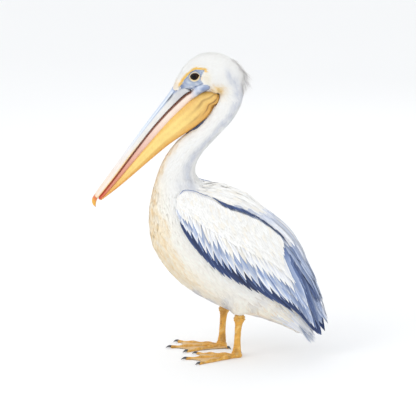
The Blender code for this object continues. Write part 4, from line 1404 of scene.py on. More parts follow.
    @staticmethod
    def rolled(lift: Array, far: Array, across: Array) -> Array:
        """Lower the wing's surface where it rolls over at its front and at its upper edge."""
        front = 0.35 + 0.65 * np.clip(far / FoldedWing.FRONT_ROLL, 0.0, 1.0)
        return lift * front * (0.50 + 0.50 * smooth(-0.06, 0.18, across))

    def covert_rows(self) -> list[FeatherRow]:
        """The small coverts: short white feathers in many rows from the upper edge down."""
        rows = []
        last = self.COVERT_ROWS - 1
        for number in range(last, -1, -1):
            share = number / last
            root = -0.01 + 0.24 * share
            reach = 0.10 + 0.09 * share
            high = 0.0222 - 0.0032 * share
            rows.append(FeatherRow(
                count=int(44 - 12 * share), far=(0.022, 0.77 - 0.07 * share),
                root=(root, root + 0.02 * share), slant=(0.014 + 0.006 * share, 0.026 + 0.018 * share),
                tip=(root + reach, root + reach + 0.08 * share),
                width=(0.0120 + 0.0040 * share, 0.0135 + 0.0060 * share), lift=(high - 0.0012, high),
                shape=COVER if number >= last - 3 else SMALL, tint=WHITE_COVERT))
        return rows

    def leading_rim(self) -> bpy.types.Object:
        """The thin dark line of short feathers round the wing's leading edge."""
        far = np.concatenate((np.full(16, 0.0), np.linspace(0.0, 0.34, 50)))
        across = np.concatenate((np.linspace(0.62, 0.02, 16), np.linspace(0.0, -0.03, 50)))
        lift = self.rolled(np.full(len(far), 0.0240), far, across)
        centre = self.bed.point(far, across, lift, self.side)
        inward = self.bed.point(far + 0.01, across + 0.05, lift, self.side) - centre
        ahead = unit(np.gradient(centre, axis=0))
        inward = unit(inward - ahead * (inward * ahead).sum(1, keepdims=True))
        up = unit(np.cross(ahead, inward))
        turn = turns(8)[..., None]
        taper = np.clip(np.minimum(np.linspace(0, 6, len(far)), np.linspace(7, 0, len(far))), 0.15, 1.0)
        girth = (0.0011 * taper)[:, None, None]
        rings = centre[:, None] + girth * (np.cos(turn) * inward[:, None] + np.sin(turn) * up[:, None])
        made = self.bench.rolled_sheet("wing_%s_rim" % self.side.word, rings)
        return self.bench.finish_piece(made, QUILL, mix(STEEL, DOVE, 0.35))

    def arm(self) -> bpy.types.Object:
        """The wing's fleshy arm under the coverts, a closed pad."""
        far = np.linspace(0.012, 0.90, 44)
        turn = turns(28)
        upper, lower = 0.03, 0.56
        middle = 0.5 * (lower + upper)
        across = middle - 0.5 * (lower - upper) * np.cos(turn)
        ends = np.sqrt(np.clip(np.minimum(np.linspace(0.02, 6, 44), np.linspace(5, 0.05, 44)), 0, 1))
        spots = middle + (across - middle) * ends[:, None]
        close = np.clip(far / self.FRONT_ROLL, 0.0, 1.0)[:, None]
        lift = (0.0065 + 0.0050 * np.sin(turn) * ends[:, None]) * (0.35 + 0.65 * close)
        rings = self.bed.point(np.broadcast_to(far[:, None], spots.shape), spots, lift, self.side)
        made = self.bench.rolled_sheet("wing_%s_arm" % self.side.word, rings)
        return self.bench.finish_piece(made, FLESH, SILK)

    def build(self) -> None:
        """Lay the whole wing from the lowest feathers up."""
        word = self.side.word
        self.arm()
        self.leading_rim()
        for name, rows, finish, replaced in (
                ("quills", self.FLIGHT_ROWS + self.REAR_ROWS, QUILL, ("primaries", "secondaries")),
                ("greater_coverts", self.GREAT_ROWS, COVERT, ("coverts",)),
                ("small_coverts", self.covert_rows(), COVERT, ()),
                # the edge rows: painted shadow along the upper edge
                ("edge", self.EDGE_ROWS, QUILL, ())):
            self.plumage.piece("wing_%s_%s" % (word, name), [self.lay(row) for row in rows], finish,
                               ["wing_%s_%s" % (word, node) for node in replaced])


@dataclass(frozen=True)
class BackRow:
    """One row of feathers across the back, over the form that the wings lie on.

    Attributes:
        count: Number of feathers.
        number: Station where the roots lie.
        reach: Stations from root to tip.
        spread: Angles round the body, as shares of the wing's edge, first and last.
        half: Half width.
        lift: Height of root, middle and tip above the form.
        shape: Outline.
        inner: Colours along the middle of the back.
        outer: Colours beside the wings.
    """

    count: int
    number: float
    reach: float
    spread: tuple[float, float]
    half: float
    lift: tuple[float, float, float]
    shape: VaneShape
    inner: VaneTint
    outer: VaneTint


PALE_BACK = VaneTint(SNOW, SNOW, SNOW, SILK, 0.6, 0.9, 0.04, IVORY, 0.50)
GREY_BACK = VaneTint(SILK, SNOW, SNOW, DOVE, 0.50, 0.92, 0.08, DOVE, 0.80)
BLUE_BACK = VaneTint(DOVE, PEARL, PEARL, STEEL, 0.72, 0.94, 0.08, STEEL, 0.4)


class Mantle:
    """The feathers of the back between the two wings, and the long ones behind them."""

    ROWS = 18
    FIRST, LAST = 7.12, 10.4
    # The third and fourth rear rows darken beside the wings to the tertials with painted shade.
    REAR_ROWS = (
        BackRow(13, 13.5, 1.9, (-1.70, 1.70), 0.0105, (-0.002, 0.001, 0.003), BLADE, GREY_BACK, BLUE_BACK),
        BackRow(13, 12.8, 1.9, (-1.60, 1.60), 0.0105, (-0.001, 0.002, 0.003), BLADE, GREY_BACK, BLUE_BACK),
        BackRow(5, 12.2, 2.1, (-0.80, 0.80), 0.0095, (0.001, 0.004, 0.004), BLADE, BLUE_BACK, TERTIAL_IN_PAINTED_SHADE),
        BackRow(7, 11.8, 2.4, (-1.00, 1.00), 0.0100, (0.002, 0.005, 0.006), BLADE, BLUE_BACK, TERTIAL_IN_PAINTED_SHADE),
        BackRow(9, 11.2, 2.2, (-1.05, 1.05), 0.0105, (0.003, 0.007, 0.008), BLADE, BLUE_BACK, BLUE_BACK),
        BackRow(11, 10.6, 2.0, (-1.05, 1.05), 0.0105, (0.004, 0.008, 0.008), BLADE, GREY_BACK, BLUE_BACK),
        BackRow(13, 10.0, 1.8, (-1.00, 1.00), 0.0105, (0.004, 0.009, 0.007), BLADE, GREY_BACK, GREY_BACK),
    )

    def __init__(self, bench: Workbench, bed: WingBed) -> None:
        """Work at a bench on the form under the wings."""
        self.bench = bench
        self.bed = bed
        self.plumage = Plumage(bench)
        self.rng = np.random.default_rng(21)

    def lay(self, row: BackRow, stagger: float) -> tuple[Plumes, Array]:
        """Place one row.

        Args:
            row: The row.
            stagger: How far the row is shifted sideways, in feathers.

        Returns:
            The feathers and the places of their roots.
        """
        count = row.count
        spread = np.linspace(*row.spread, count) + self.rng.normal(size=count) * 0.02
        spread = spread + stagger * (row.spread[1] - row.spread[0]) / count
        reach = row.reach * self.rng.uniform(0.88, 1.12, count)
        start = row.number + self.rng.normal(size=count) * 0.10
        part = np.linspace(0.0, 1.0, row.shape.rows)[None, :]
        numbers = start[:, None] + reach[:, None] * part
        edge = np.minimum(self.bed.edge_angle(numbers), math.radians(56.0)) - math.radians(2.0)
        angles = edge * spread[:, None] * (1 - 0.10 * part * np.sign(row.reach - 2.5))
        root, middle, tip = row.lift
        lift = root + (tip - root) * part + (middle - (root + tip) / 2) * np.sin(math.pi * part)
        lift = lift + (self.rng.normal(size=count) * 0.0003)[:, None]
        paths = self.bed.form.surface(numbers, angles, 1.0, lift)
        beside = self.bed.form.surface(numbers, angles + 0.02, 1.0, lift) - paths
        onward = self.bed.form.surface(numbers + 0.02, angles, 1.0, lift) - paths
        outward = unit(np.cross(beside, onward))
        flip = np.sign((outward * np.array((0.0, 0.8, 1.0))).sum(-1, keepdims=True))
        outward = outward * np.where(flip == 0, 1, flip)
        half = np.full(count, row.half) * self.rng.uniform(0.9, 1.1, count)
        inner = row.inner.tints(count, row.shape, self.rng)
        outer = row.outer.tints(count, row.shape, self.rng)
        share = smooth(0.45, 0.85, np.abs(spread) + 0.12 * self.rng.normal(size=count))
        tints = mix(inner, outer, np.broadcast_to(share[:, None, None], inner.shape[:3]))
        spots = np.stack((spread, np.full(count, row.number)), axis=1)
        return Plumes(paths, outward, half, tints, row.shape), spots

    def front_rows(self) -> list[BackRow]:
        """The white rows from behind the neck to the middle of the back, rear ones first."""
        rows = []
        for step in range(self.ROWS - 1, -1, -1):
            share = step / (self.ROWS - 1)
            number = self.FIRST + (self.LAST - self.FIRST) * share
            sunk = -0.006 * float(1 - smooth(0.0, 0.30, np.array(share)))
            lift = (sunk + 0.002, 0.5 * sunk + 0.005 + 0.002 * share, 0.0030 + 0.0015 * share)
            inner = PALE_BACK if share < 0.70 else GREY_BACK
            rows.append(BackRow(int(25 - 9 * share), number, 0.45 + 1.05 * share, (-1.0, 1.0),
                                0.0070 + 0.0035 * share, lift, LANCET, inner,
                                PALE_BACK if share < 0.45 else GREY_BACK))
        return rows

    def join(self, name: str, rows: Sequence[BackRow], finish: Finish, replaced: Sequence[str]) -> None:
        """Lay some rows and join them into one piece."""
        laid = [self.lay(row, 0.5 * (index % 2)) for index, row in enumerate(rows)]
        self.plumage.piece(name, laid, finish, replaced)

    def build(self) -> None:
        """Lay every row from the rear forwards."""
        self.join("long_back_feathers", self.REAR_ROWS, QUILL, ())
        self.join("mantle", self.front_rows(), COVERT, ("scapulars",))


class TailCoverts:
    """The pale pointed feathers that hide the roots of the tail, above and on both sides."""

    ROWS = (
        # count, station, reach, angle of the first and last feather, half width, colours
        (9, 13.1, 2.5, 62, 122, 0.0090, VaneTint(SILK, SNOW, SNOW, PEARL, 0.6, 0.92, 0.05, PEARL, 0.4)),
        (8, 12.4, 2.5, 66, 118, 0.0095, VaneTint(IVORY, SNOW, SNOW, SILK, 0.6, 0.92, 0.05, PEARL, 0.4)),
    )

    def __init__(self, bench: Workbench) -> None:
        """Work at a bench on the body's own form."""
        self.bench = bench
        self.form = BodyForm(BODY_STATIONS + BED_TAIL)
        self.rng = np.random.default_rng(33)

    def build(self) -> bpy.types.Object:
        """Lay both rows on both sides."""
        laid = []
        for count, number, reach, first, last, half, tint in self.ROWS:
            for side in Side:
                part = np.linspace(0.0, 1.0, LANCET.rows)[None, :]
                angle = np.radians(np.linspace(first, last, count) + self.rng.normal(size=count) * 1.5)
                long = reach * self.rng.uniform(0.88, 1.1, count)
                numbers = number + long[:, None] * part
                angles = angle[:, None] * np.ones_like(part)
                lift = -0.0030 + 0.0035 * np.sin(math.pi * (0.15 + 0.7 * part)) * np.ones_like(numbers)
                lift = lift - 0.006 * (1 - smooth(0.0, 0.35, part))
                paths = self.form.surface(numbers, angles, side.value, lift)
                outward = unit(self.form.surface(numbers, angles, side.value, lift + 0.01) - paths)
                tints = tint.tints(count, LANCET, self.rng)
                laid.append((Plumes(paths, outward, np.full(count, half), tints, LANCET),
                             np.stack((side.value * angle, np.full(count, number)), axis=1)))
        return Plumage(self.bench).piece("tail_coverts", laid, COVERT)


@dataclass
class TailFan:
    """The short fan of tail feathers."""

    bench: Workbench
    feathers: int = 16
    root_y: float = 0.281
    root_z: float = 0.110
    length: float = 0.084
    fall: float = math.radians(62)
    tint: VaneTint = VaneTint(PEARL, SNOW, SILK, DOVE, 0.70, 0.93, 0.06, STEEL, 0.35)

    def build(self) -> bpy.types.Object:
        """Lay the feathers from the outermost to the middle, on both sides."""
        rng = np.random.default_rng(31)
        spread = np.linspace(-1, 1, self.feathers)
        spread = spread[np.argsort(-np.abs(spread))]
        part = np.linspace(-0.45, 1.0, LONG.rows)[None, :]
        reach = self.length * (1 - 0.16 * spread ** 2) * rng.uniform(0.96, 1.03, self.feathers)
        drop = self.fall - math.radians(8) * part
        open_part = np.maximum(part, 0.0)
        x = spread[:, None] * (0.020 + 0.036 * open_part)
        y = self.root_y + reach[:, None] * part * np.cos(drop)
        z = self.root_z - reach[:, None] * part * np.sin(drop) - 0.004 * spread[:, None] ** 2 * open_part
        raise_by = 0.0030 * (1 - np.abs(spread))[:, None] * np.ones_like(part)
        paths = np.stack((x, y + raise_by, z + 0.3 * raise_by), axis=-1)
        up = np.stack((0.25 * spread[:, None] * np.ones_like(part), np.sin(drop) * np.ones_like(x),
                       np.cos(drop) * np.ones_like(x)), axis=-1)
        half = np.full(self.feathers, 0.0105)
        tints = self.tint.tints(self.feathers, LONG, rng)
        plumes = Plumes(paths, unit(up), half, tints, LONG)
        spots = np.stack((spread, 1 - np.abs(spread)), axis=1)
        return Plumage(self.bench).piece("tail_fan", [(plumes, spots)], TAIL, ("tail",))


@dataclass
class NapeCrest:
    """The loose shaggy crest down the back of the head."""

    bench: Workbench
    terrain: Terrain
    clumps: int = 96
    each: int = 6
    centre: tuple[float, float] = (0.050, 0.838)
    reach: float = 0.062

    def build(self) -> bpy.types.Object:
        """Root thin locks on the nape in clumps and sweep them back and down."""
        rng = np.random.default_rng(51)
        shape = VaneShape(7, (-1.0, 0.0, 1.0), 0.7, 0.25, 1.1, (0.04, 0.0, 0.06), 0.4)
        count = self.clumps * self.each
        clump = np.repeat(np.arange(self.clumps), self.each)
        clump_angle = np.linspace(-62, 74, self.clumps) + rng.normal(size=self.clumps) * 1.6
        clump_side = rng.normal(size=self.clumps) * 0.010
        angle = np.radians(clump_angle[clump] + rng.normal(size=count) * 0.9)
        sideways = clump_side[clump] + rng.normal(size=count) * 0.0010
        guess = np.stack((sideways, self.centre[0] + self.reach * np.cos(angle),
                          self.centre[1] + self.reach * np.sin(angle)), axis=1)
        roots, normals = self.terrain.settle(guess)
        middle = bell(clump_angle, 4, 40)
        length = ((0.020 + 0.022 * middle) * rng.uniform(0.7, 1.15, self.clumps))[clump]
        length = length * rng.uniform(0.72, 1.05, count)
        stand = np.radians(10 + 34 * middle * rng.uniform(0.25, 1.15, self.clumps))[clump]
        far = np.radians(clump_angle)[clump]
        tangent = np.stack((np.zeros(count), np.sin(far), -np.cos(far)), axis=1)
        out = np.stack((clump_side[clump] * 14, np.cos(far), np.sin(far)), axis=1)
        way = unit(tangent * np.cos(stand)[:, None] + unit(out) * np.sin(stand)[:, None])
        way = unit(way + rng.normal(size=way.shape) * 0.045)
        part = np.linspace(0, 1, shape.rows)[None, :, None]
        sag = np.array((0.0, 0.0, -1.0)) * 0.12
        paths = (roots[:, None] - normals[:, None] * 0.001 + length[:, None, None]
                 * (way[:, None] * part + sag * part ** 2))
        outward = np.broadcast_to(unit(np.cross(np.array((1.0, 0.0, 0.0)), way))[:, None], paths.shape)
        outward = outward * np.sign((outward * out[:, None]).sum(-1, keepdims=True))
        half = rng.uniform(0.0005, 0.0010, count)
        dull = (rng.random(self.clumps) ** 2.2)[clump]
        tone = mix(SNOW, paint(226, 224, 228), 0.8 * dull)
        dusk = mix(tone, paint(196, 184, 178), 0.15 + 0.6 * dull)
        tints = mix(tone[:, None, None], dusk[:, None, None], smooth(0.3, 1.0, part))
        tints = np.repeat(tints, len(shape.columns), axis=2)
        plumes = Plumes(paths, outward, half, tints, shape)
        spots = np.stack((sideways, angle), axis=1)
        return Plumage(self.bench).piece("crest_locks", [(plumes, spots)], DOWN, ("crest",))


# ---------------------------------------------------------------- bill
BILL_STATIONS = (
    # distance from the root, ridge, mouth, lower edge of the jaw, lowest of the pouch,
    # and the half widths of the upper bill, the jaw and the pouch
    (-0.020, 0.006, 0.052, 0.076, 0.130, 0.0300, 0.0350, 0.030),
    (0.000, 0.000, 0.044, 0.070, 0.136, 0.0290, 0.0340, 0.036),
    (0.040, 0.001, 0.036, 0.064, 0.132, 0.0265, 0.0310, 0.039),
    (0.090, 0.000, 0.029, 0.057, 0.115, 0.0235, 0.0275, 0.036),
    (0.160, -0.001, 0.0235, 0.050, 0.091, 0.0200, 0.0240, 0.029),
    (0.250, -0.001, 0.0215, 0.042, 0.070, 0.0175, 0.0205, 0.022),
    (0.340, 0.000, 0.0205, 0.0345, 0.050, 0.0175, 0.0185, 0.0165),
    (0.400, 0.000, 0.0180, 0.029, 0.0345, 0.0165, 0.0155, 0.0115),
    (0.424, 0.001, 0.0160, 0.0245, 0.0275, 0.0130, 0.0120, 0.0080),
)
JAW_REAR = (
    # distance and depth of the top, distance and depth of the bottom, half width
    (-0.0712, 0.0850, -0.0655, 0.0905, 0.0240), (-0.0735, 0.0790, -0.0590, 0.0920, 0.0325),
    (-0.0705, 0.0690, -0.0500, 0.0900, 0.0358), (-0.0560, 0.0560, -0.0390, 0.0835, 0.0362),
    (-0.0385, 0.0500, -0.0280, 0.0785, 0.0360), (-0.0190, 0.0510, -0.0170, 0.0755, 0.0352),
)
POUCH_REAR = ((-0.058, 0.104, 0.124, 0.011), (-0.050, 0.090, 0.132, 0.020), (-0.036, 0.076, 0.137, 0.027))
BILL_HOOK = ((0.4205, 0.0010, 0.0150, 0.0120), (0.434, 0.001, 0.0165, 0.0105),
             (0.443, 0.005, 0.0200, 0.0085), (0.450, 0.012, 0.0240, 0.0058),
             (0.4525, 0.019, 0.0265, 0.0024))


@dataclass
class Bill:
    """The upper bill with its nail, the lower jaw and the hanging pouch."""

    bench: Workbench
    length: float = 0.447
    table_length: float = 0.4525
    root_y: float = -0.094
    root_z: float = 0.812
    slope: float = math.radians(54.5)
    horn_length: float = 0.424
    points_round: int = 48
    FULLNESS: ClassVar[float] = 0.85
    # painted shadow of the mouth line between the bills, dark brown
    MOUTH_PAINTED_SHADOW: ClassVar[Colour] = paint(104, 52, 34)

    def place(self, distance: Array, below: Array, across: Array) -> Array:
        """Points from distances along the bill, below its ridge and to the side."""
        far = distance * self.length / self.table_length
        y = self.root_y - math.cos(self.slope) * far + math.sin(self.slope) * below
        z = self.root_z - math.sin(self.slope) * far - math.cos(self.slope) * below
        return np.stack(np.broadcast_arrays(across, y, z), axis=-1)

    def ring(self, top: Array, bottom: Array, half: Array, crown: float) -> tuple[Array, Array]:
        """Depths and side offsets of rings with an arched top and a flatter underside."""
        turn = turns(self.points_round)
        middle = bottom - (bottom - top) * crown
        rise = np.where(np.cos(turn) > 0, middle - top, bottom - middle)
        return (middle - rise * swelled(np.cos(turn), self.FULLNESS),
                half * swelled(np.sin(turn), self.FULLNESS))

    def rows_at(self, table: Sequence[tuple[float, ...]], share: Array, last: int = 0) -> Array:
        """Rows of a table at shares of the bill's length.

        Args:
            table: The table, whose first column is a distance along the bill.
            share: The shares.
            last: The column whose mean with the first is a row's distance.

        Returns:
            One row of values for each share.
        """
        rows = np.array(table)
        starts = (rows[:, 0] + rows[:, last]) / 2
        return along(rows, np.interp(share * self.table_length, starts, np.arange(len(rows))))

    def upper(self) -> bpy.types.Object:
        """The long flat upper bill: a raised ridge between two grooves, and sharp edges."""
        distance, top, mouth, _, _, half, _, _ = columns(BILL_STATIONS, 84)
        below, across = self.ring(top, mouth - 0.0003, half, 0.18)
        aside = np.abs(across) / half
        share = np.clip(distance / self.horn_length, 0, 1)
        groove = 0.0016 * bell(aside, 0.50, 0.10) * (1 - 0.5 * share) - 0.0008 * bell(aside, 0.0, 0.24)
        nostril = 0.0022 * bell(distance, 0.026, 0.012) * bell(aside, 0.50, 0.07)
        below = below + np.where(np.cos(turns(self.points_round)) > 0, groove + nostril, 0.0)
        rings = self.place(distance, below, across)
        rings[0] = rings[0].mean(0) + (rings[0] - rings[0].mean(0)) * 0.7
        made = self.bench.rolled_sheet("upper_bill", rings)
        tint = self.upper_tint(self.bench.points_of(made))
        return self.bench.finish_piece(made, HORN, tint, ("bill_upper",))

    def local(self, points: Array) -> tuple[Array, Array, Array]:
        """Share of the bill's length, depth below its ridge and side offset of places."""
        y, z = points[:, 1] - self.root_y, points[:, 2] - self.root_z
        far = -math.cos(self.slope) * y - math.sin(self.slope) * z
        below = math.sin(self.slope) * y - math.cos(self.slope) * z
        return far / self.length, below, points[:, 0]

    def upper_tint(self, points: Array) -> Array:
        """Pale blue ridge and grey sides near the head, warmer towards the tip, with painted shadow along
        the lower edge.
        """
        share, below, aside = self.local(points)
        rows = self.rows_at(BILL_STATIONS, share)
        wide = np.abs(aside) / rows[:, 5]
        depth = (below - rows[:, 1]) / (rows[:, 2] - rows[:, 1])
        warm = smooth(0.35, 0.95, share)
        ridge = mix(paint(228, 236, 246), paint(246, 226, 206), warm)
        flank = mix(paint(232, 230, 226), paint(244, 230, 218), warm)
        line = mix(paint(96, 128, 180), paint(240, 178, 128), smooth(0.35, 0.62, share))
        fade = 1 - 0.75 * smooth(0.10, 0.50, share)
        nostril = bell(share * self.length, 0.034, 0.018) * bell(depth, 0.30, 0.06)
        base = (1 - smooth(0.0, 0.05, share)) * (1 - smooth(0.30, 0.55, depth))
        rear = (1 - smooth(0.02, 0.16, share)) * smooth(0.35, 0.50, depth)
        gilt = smooth(0.70, 0.80, depth) * smooth(0.35, 0.60, share)
        # painted shadow: the lower edge dark brown by the mouth line, turning to the bill's own red towards
        # the tip
        edge = smooth(0.91, 0.985, depth)
        dark = mix(self.MOUTH_PAINTED_SHADOW, paint(196, 66, 30), smooth(0.6, 0.95, share))
        return coats(
            mix(ridge, flank, smooth(0.24, 0.40, depth)),
            (line, (0.85 * bell(depth, 0.30, 0.050) * (wide > 0.4) * fade).clip(0, 1)),
            (line, 0.45 * bell(depth, 0.06, 0.05) * fade),
            (paint(24, 34, 64), (1.4 * nostril).clip(0, 1) * (depth < 0.8)),
            (paint(92, 126, 184), 0.8 * base),
            (paint(186, 189, 196), 0.6 * rear),
            (paint(246, 198, 104), 0.7 * gilt),
            (dark, 0.92 * edge),
            (paint(242, 178, 82), 0.8 * smooth(0.90, 0.985, share) * (1 - edge)))

    def jaw(self) -> bpy.types.Object:
        """The lower jaw, ending round behind the gape under the eye."""
        table = list(JAW_REAR)
        table += [(r[0], r[2] + 0.0003, r[0], r[3], r[6]) for r in BILL_STATIONS[1:]]
        rows = along(table, np.linspace(0, len(table) - 1, 110))
        top, bottom, half = rows[:, None, 0:2], rows[:, None, 2:4], rows[:, 4:]
        turn = turns(self.points_round)
        middle = bottom - (bottom - top) * 0.55
        upward = np.cos(turn)[..., None]
        reach = np.where(upward > 0, top - middle, bottom - middle)
        spots = middle + reach * np.abs(upward) ** self.FULLNESS
        across = half * swelled(np.sin(turn), self.FULLNESS)
        made = self.bench.rolled_sheet("lower_jaw", self.place(spots[..., 0], spots[..., 1], across))
        self.bench.apply(made, "SMOOTH", factor=0.4, iterations=2)
        tint = self.jaw_tint(self.bench.points_of(made))
        return self.bench.finish_piece(made, HORN, tint, ("bill_lower",))

    def jaw_tint(self, points: Array) -> Array:
        """Rosy horn that reddens towards the tip, with painted shadow along its top, and blue skin behind
        the gape.
        """
        share, below, aside = self.local(points)
        near = self.rows_at(BILL_STATIONS, share)
        depth = ((below - near[:, 2]) / (near[:, 3] - near[:, 2])).clip(0, 1)
        streak = 0.5 + 0.5 * ripple(np.column_stack((share * 0.2, depth, depth)), 0.22, 33)
        lower = smooth(0.35, 0.8, (below - 0.054) / 0.036 + 0.25 * ripple(points, 0.02, 36))
        rim = 1 - smooth(0.25, 0.62, np.abs(aside) / self.rows_at(JAW_REAR, share, 2)[:, 4])
        rim = np.maximum(rim, 1 - smooth(-0.0735, -0.0680, share * self.table_length)).clip(0, 1)
        blue = coats(
            paint(214, 220, 232),
            (paint(168, 182, 208), 0.5 + 0.5 * ripple(points, 0.016, 34)),
            (paint(120, 140, 182), 0.75 * lower),
            (paint(78, 94, 136), 0.75 * rim))
        return coats(
            paint(248, 226, 212),
            (paint(222, 136, 108), smooth(0.15, 0.85, share)),
            (paint(196, 142, 122), 0.40 * streak * smooth(0.15, 0.6, share)),
            # painted shadow: the jaw's top ledge dark brown under the upper bill's edge
            (self.MOUTH_PAINTED_SHADOW, 0.85 * (1 - smooth(0.01, 0.06, depth)) * (share > -0.03)),
            (paint(150, 96, 74), 0.75 * smooth(0.82, 0.96, depth)),
            (paint(210, 70, 36), 0.85 * smooth(0.80, 0.94, share)),
            (blue, 1 - smooth(-0.075, 0.005, share - 0.05 * (depth - 0.5))))

    def mouth_line(self) -> bpy.types.Object:
        """A strip that fills the gap between the two bills, dark brown as painted shadow of the mouth line
        and the bill's own red towards the tip.
        """
        rows = along(BILL_STATIONS, np.linspace(0.1, 7.7, 70))
        turn = turns(20)
        across = rows[:, 5:7].min(1, keepdims=True) * 0.990 * swelled(np.sin(turn), 0.6)
        below = rows[:, 2:3] + 0.0004 - np.cos(turn) * 0.0022
        made = self.bench.rolled_sheet("mouth_line", self.place(rows[:, :1], below, across))
        share, _, _ = self.local(self.bench.points_of(made))
        # painted shadow: dark brown, turning to the bill's red near the tip
        tint = mix(paint(140, 84, 62), paint(196, 66, 34), smooth(0.5, 0.95, share))
        return self.bench.finish_piece(made, HORN, tint)

    def throat(self) -> bpy.types.Object:
        """A dark slate-blue sheet where the pouch's rear meets the neck: painted shadow."""
        table = ((-0.0600, 0.6640, 0.0010, 0.003), (-0.0470, 0.6735, 0.0050, 0.011),
                 (-0.0300, 0.6850, 0.0075, 0.018), (-0.0130, 0.6985, 0.0075, 0.020),
                 (0.0020, 0.7130, 0.0055, 0.018), (0.0130, 0.7270, 0.0020, 0.010))
        far_back, height, depth, half = columns(table, 44)
        turn = turns(28)
        folds = 1 + 0.06 * np.sin(7 * turn + 30 * far_back)
        y = far_back + 0.64 * depth * np.cos(turn) * folds
        z = height - 0.77 * depth * np.cos(turn) * folds
        rings = np.stack((half * np.sin(turn) * folds, y, z), axis=-1)
        made = self.bench.rolled_sheet("throat_fold", rings)
        points = self.bench.points_of(made) * np.array((1.0, 0.4, 0.4))
        # painted shadow: dark slate-blue, varying at random
        tint = mix(paint(84, 98, 132), paint(44, 54, 84), 0.5 + 0.5 * ripple(points, 0.008, 35))
        return self.bench.finish_piece(made, FACE, tint)

    @staticmethod
    def folds(share: Array, turn: Array) -> Array:
        """The pouch's long wandering folds, -1 in a crease to 1 on a ridge."""
        wander = 0.9 * np.sin(4 * share) + 0.25 * np.sin(15 * share + 1.0)
        return np.sin(11 * turn + wander) * 0.6 + np.sin(19 * turn - 2.0 * wander) * 0.4

    def pouch(self) -> bpy.types.Object:
        """The bag of bare skin under the jaw, with long folds that gather at the throat and painted shade
        in their creases.
        """
        table = list(POUCH_REAR)
        for row in BILL_STATIONS:
            tuck = min(0.014, 0.5 * (row[3] - row[2]))
            table.append((row[0], row[3] - tuck, row[4], row[7]))
        distance, top, bottom, half = columns(table, 120)
        below, across = self.ring(top, bottom, half, 0.42)
        turn, share = turns(self.points_round), distance / self.horn_length
        height = (0.0022 * (1 - smooth(-0.05, 0.25, share)) + 0.0006) * (1 - smooth(0.85, 1.0, share))
        swell = self.folds(share, turn) * height * smooth(-0.2, 0.7, -np.cos(turn) + 0.3)
        below = below + swell * np.sign(below - (top + bottom) / 2) * np.abs(np.cos(turn))
        across = across + swell * np.sign(across) * np.abs(np.sin(turn))
        made = self.bench.rolled_sheet("pouch_skin_bag", self.place(distance, below, across))
        share, below, aside = self.local(self.bench.points_of(made))
        near = self.rows_at(table, share)
        depth = (below - near[:, 1]) / (near[:, 2] - near[:, 1])
        angle = np.arctan2(aside, (near[:, 1] + near[:, 2]) / 2 - below)
        # painted shade: darker and browner along the creases of the folds
        crease = 0.5 - 0.5 * self.folds(share, angle)
        rear = 1 - smooth(-0.02, 0.22, share)
        tint = coats(
            paint(240, 198, 106),
            (paint(253, 226, 140), smooth(0.08, 0.40, depth)),
            (paint(236, 168, 66), 0.80 * smooth(0.55, 0.98, depth)),
            (paint(232, 142, 52), 0.6 * smooth(0.55, 0.95, share)),
            (paint(222, 158, 72), 0.35 * crease),
            (paint(224, 172, 92), 0.45 * rear),
            (paint(126, 78, 36), 0.80 * rear * smooth(0.66, 0.86, crease) * smooth(0.3, 0.6, depth)))
        return self.bench.finish_piece(made, POUCH, tint, ("pouch",))

    def nail(self) -> bpy.types.Object:
        """The hooked nail at the tip."""
        distance, top, bottom, half = columns(BILL_HOOK, 26)
        below, across = self.ring(top, bottom, half, 0.3)
        made = self.bench.rolled_sheet("bill_hook", self.place(distance, below, across))
        share, below, _ = self.local(self.bench.points_of(made))
        tint = coats(
            paint(226, 120, 66),
            (paint(238, 176, 62), smooth(0.945, 0.975, share)),
            (paint(198, 104, 42), 0.5 * smooth(0.018, 0.026, below)))
        return self.bench.finish_piece(made, NAIL, tint, ("bill_nail",))

    def build(self) -> None:
        """Make every part of the bill."""
        self.upper()
        self.jaw()
        self.mouth_line()
        self.pouch()
        self.throat()
        self.nail()


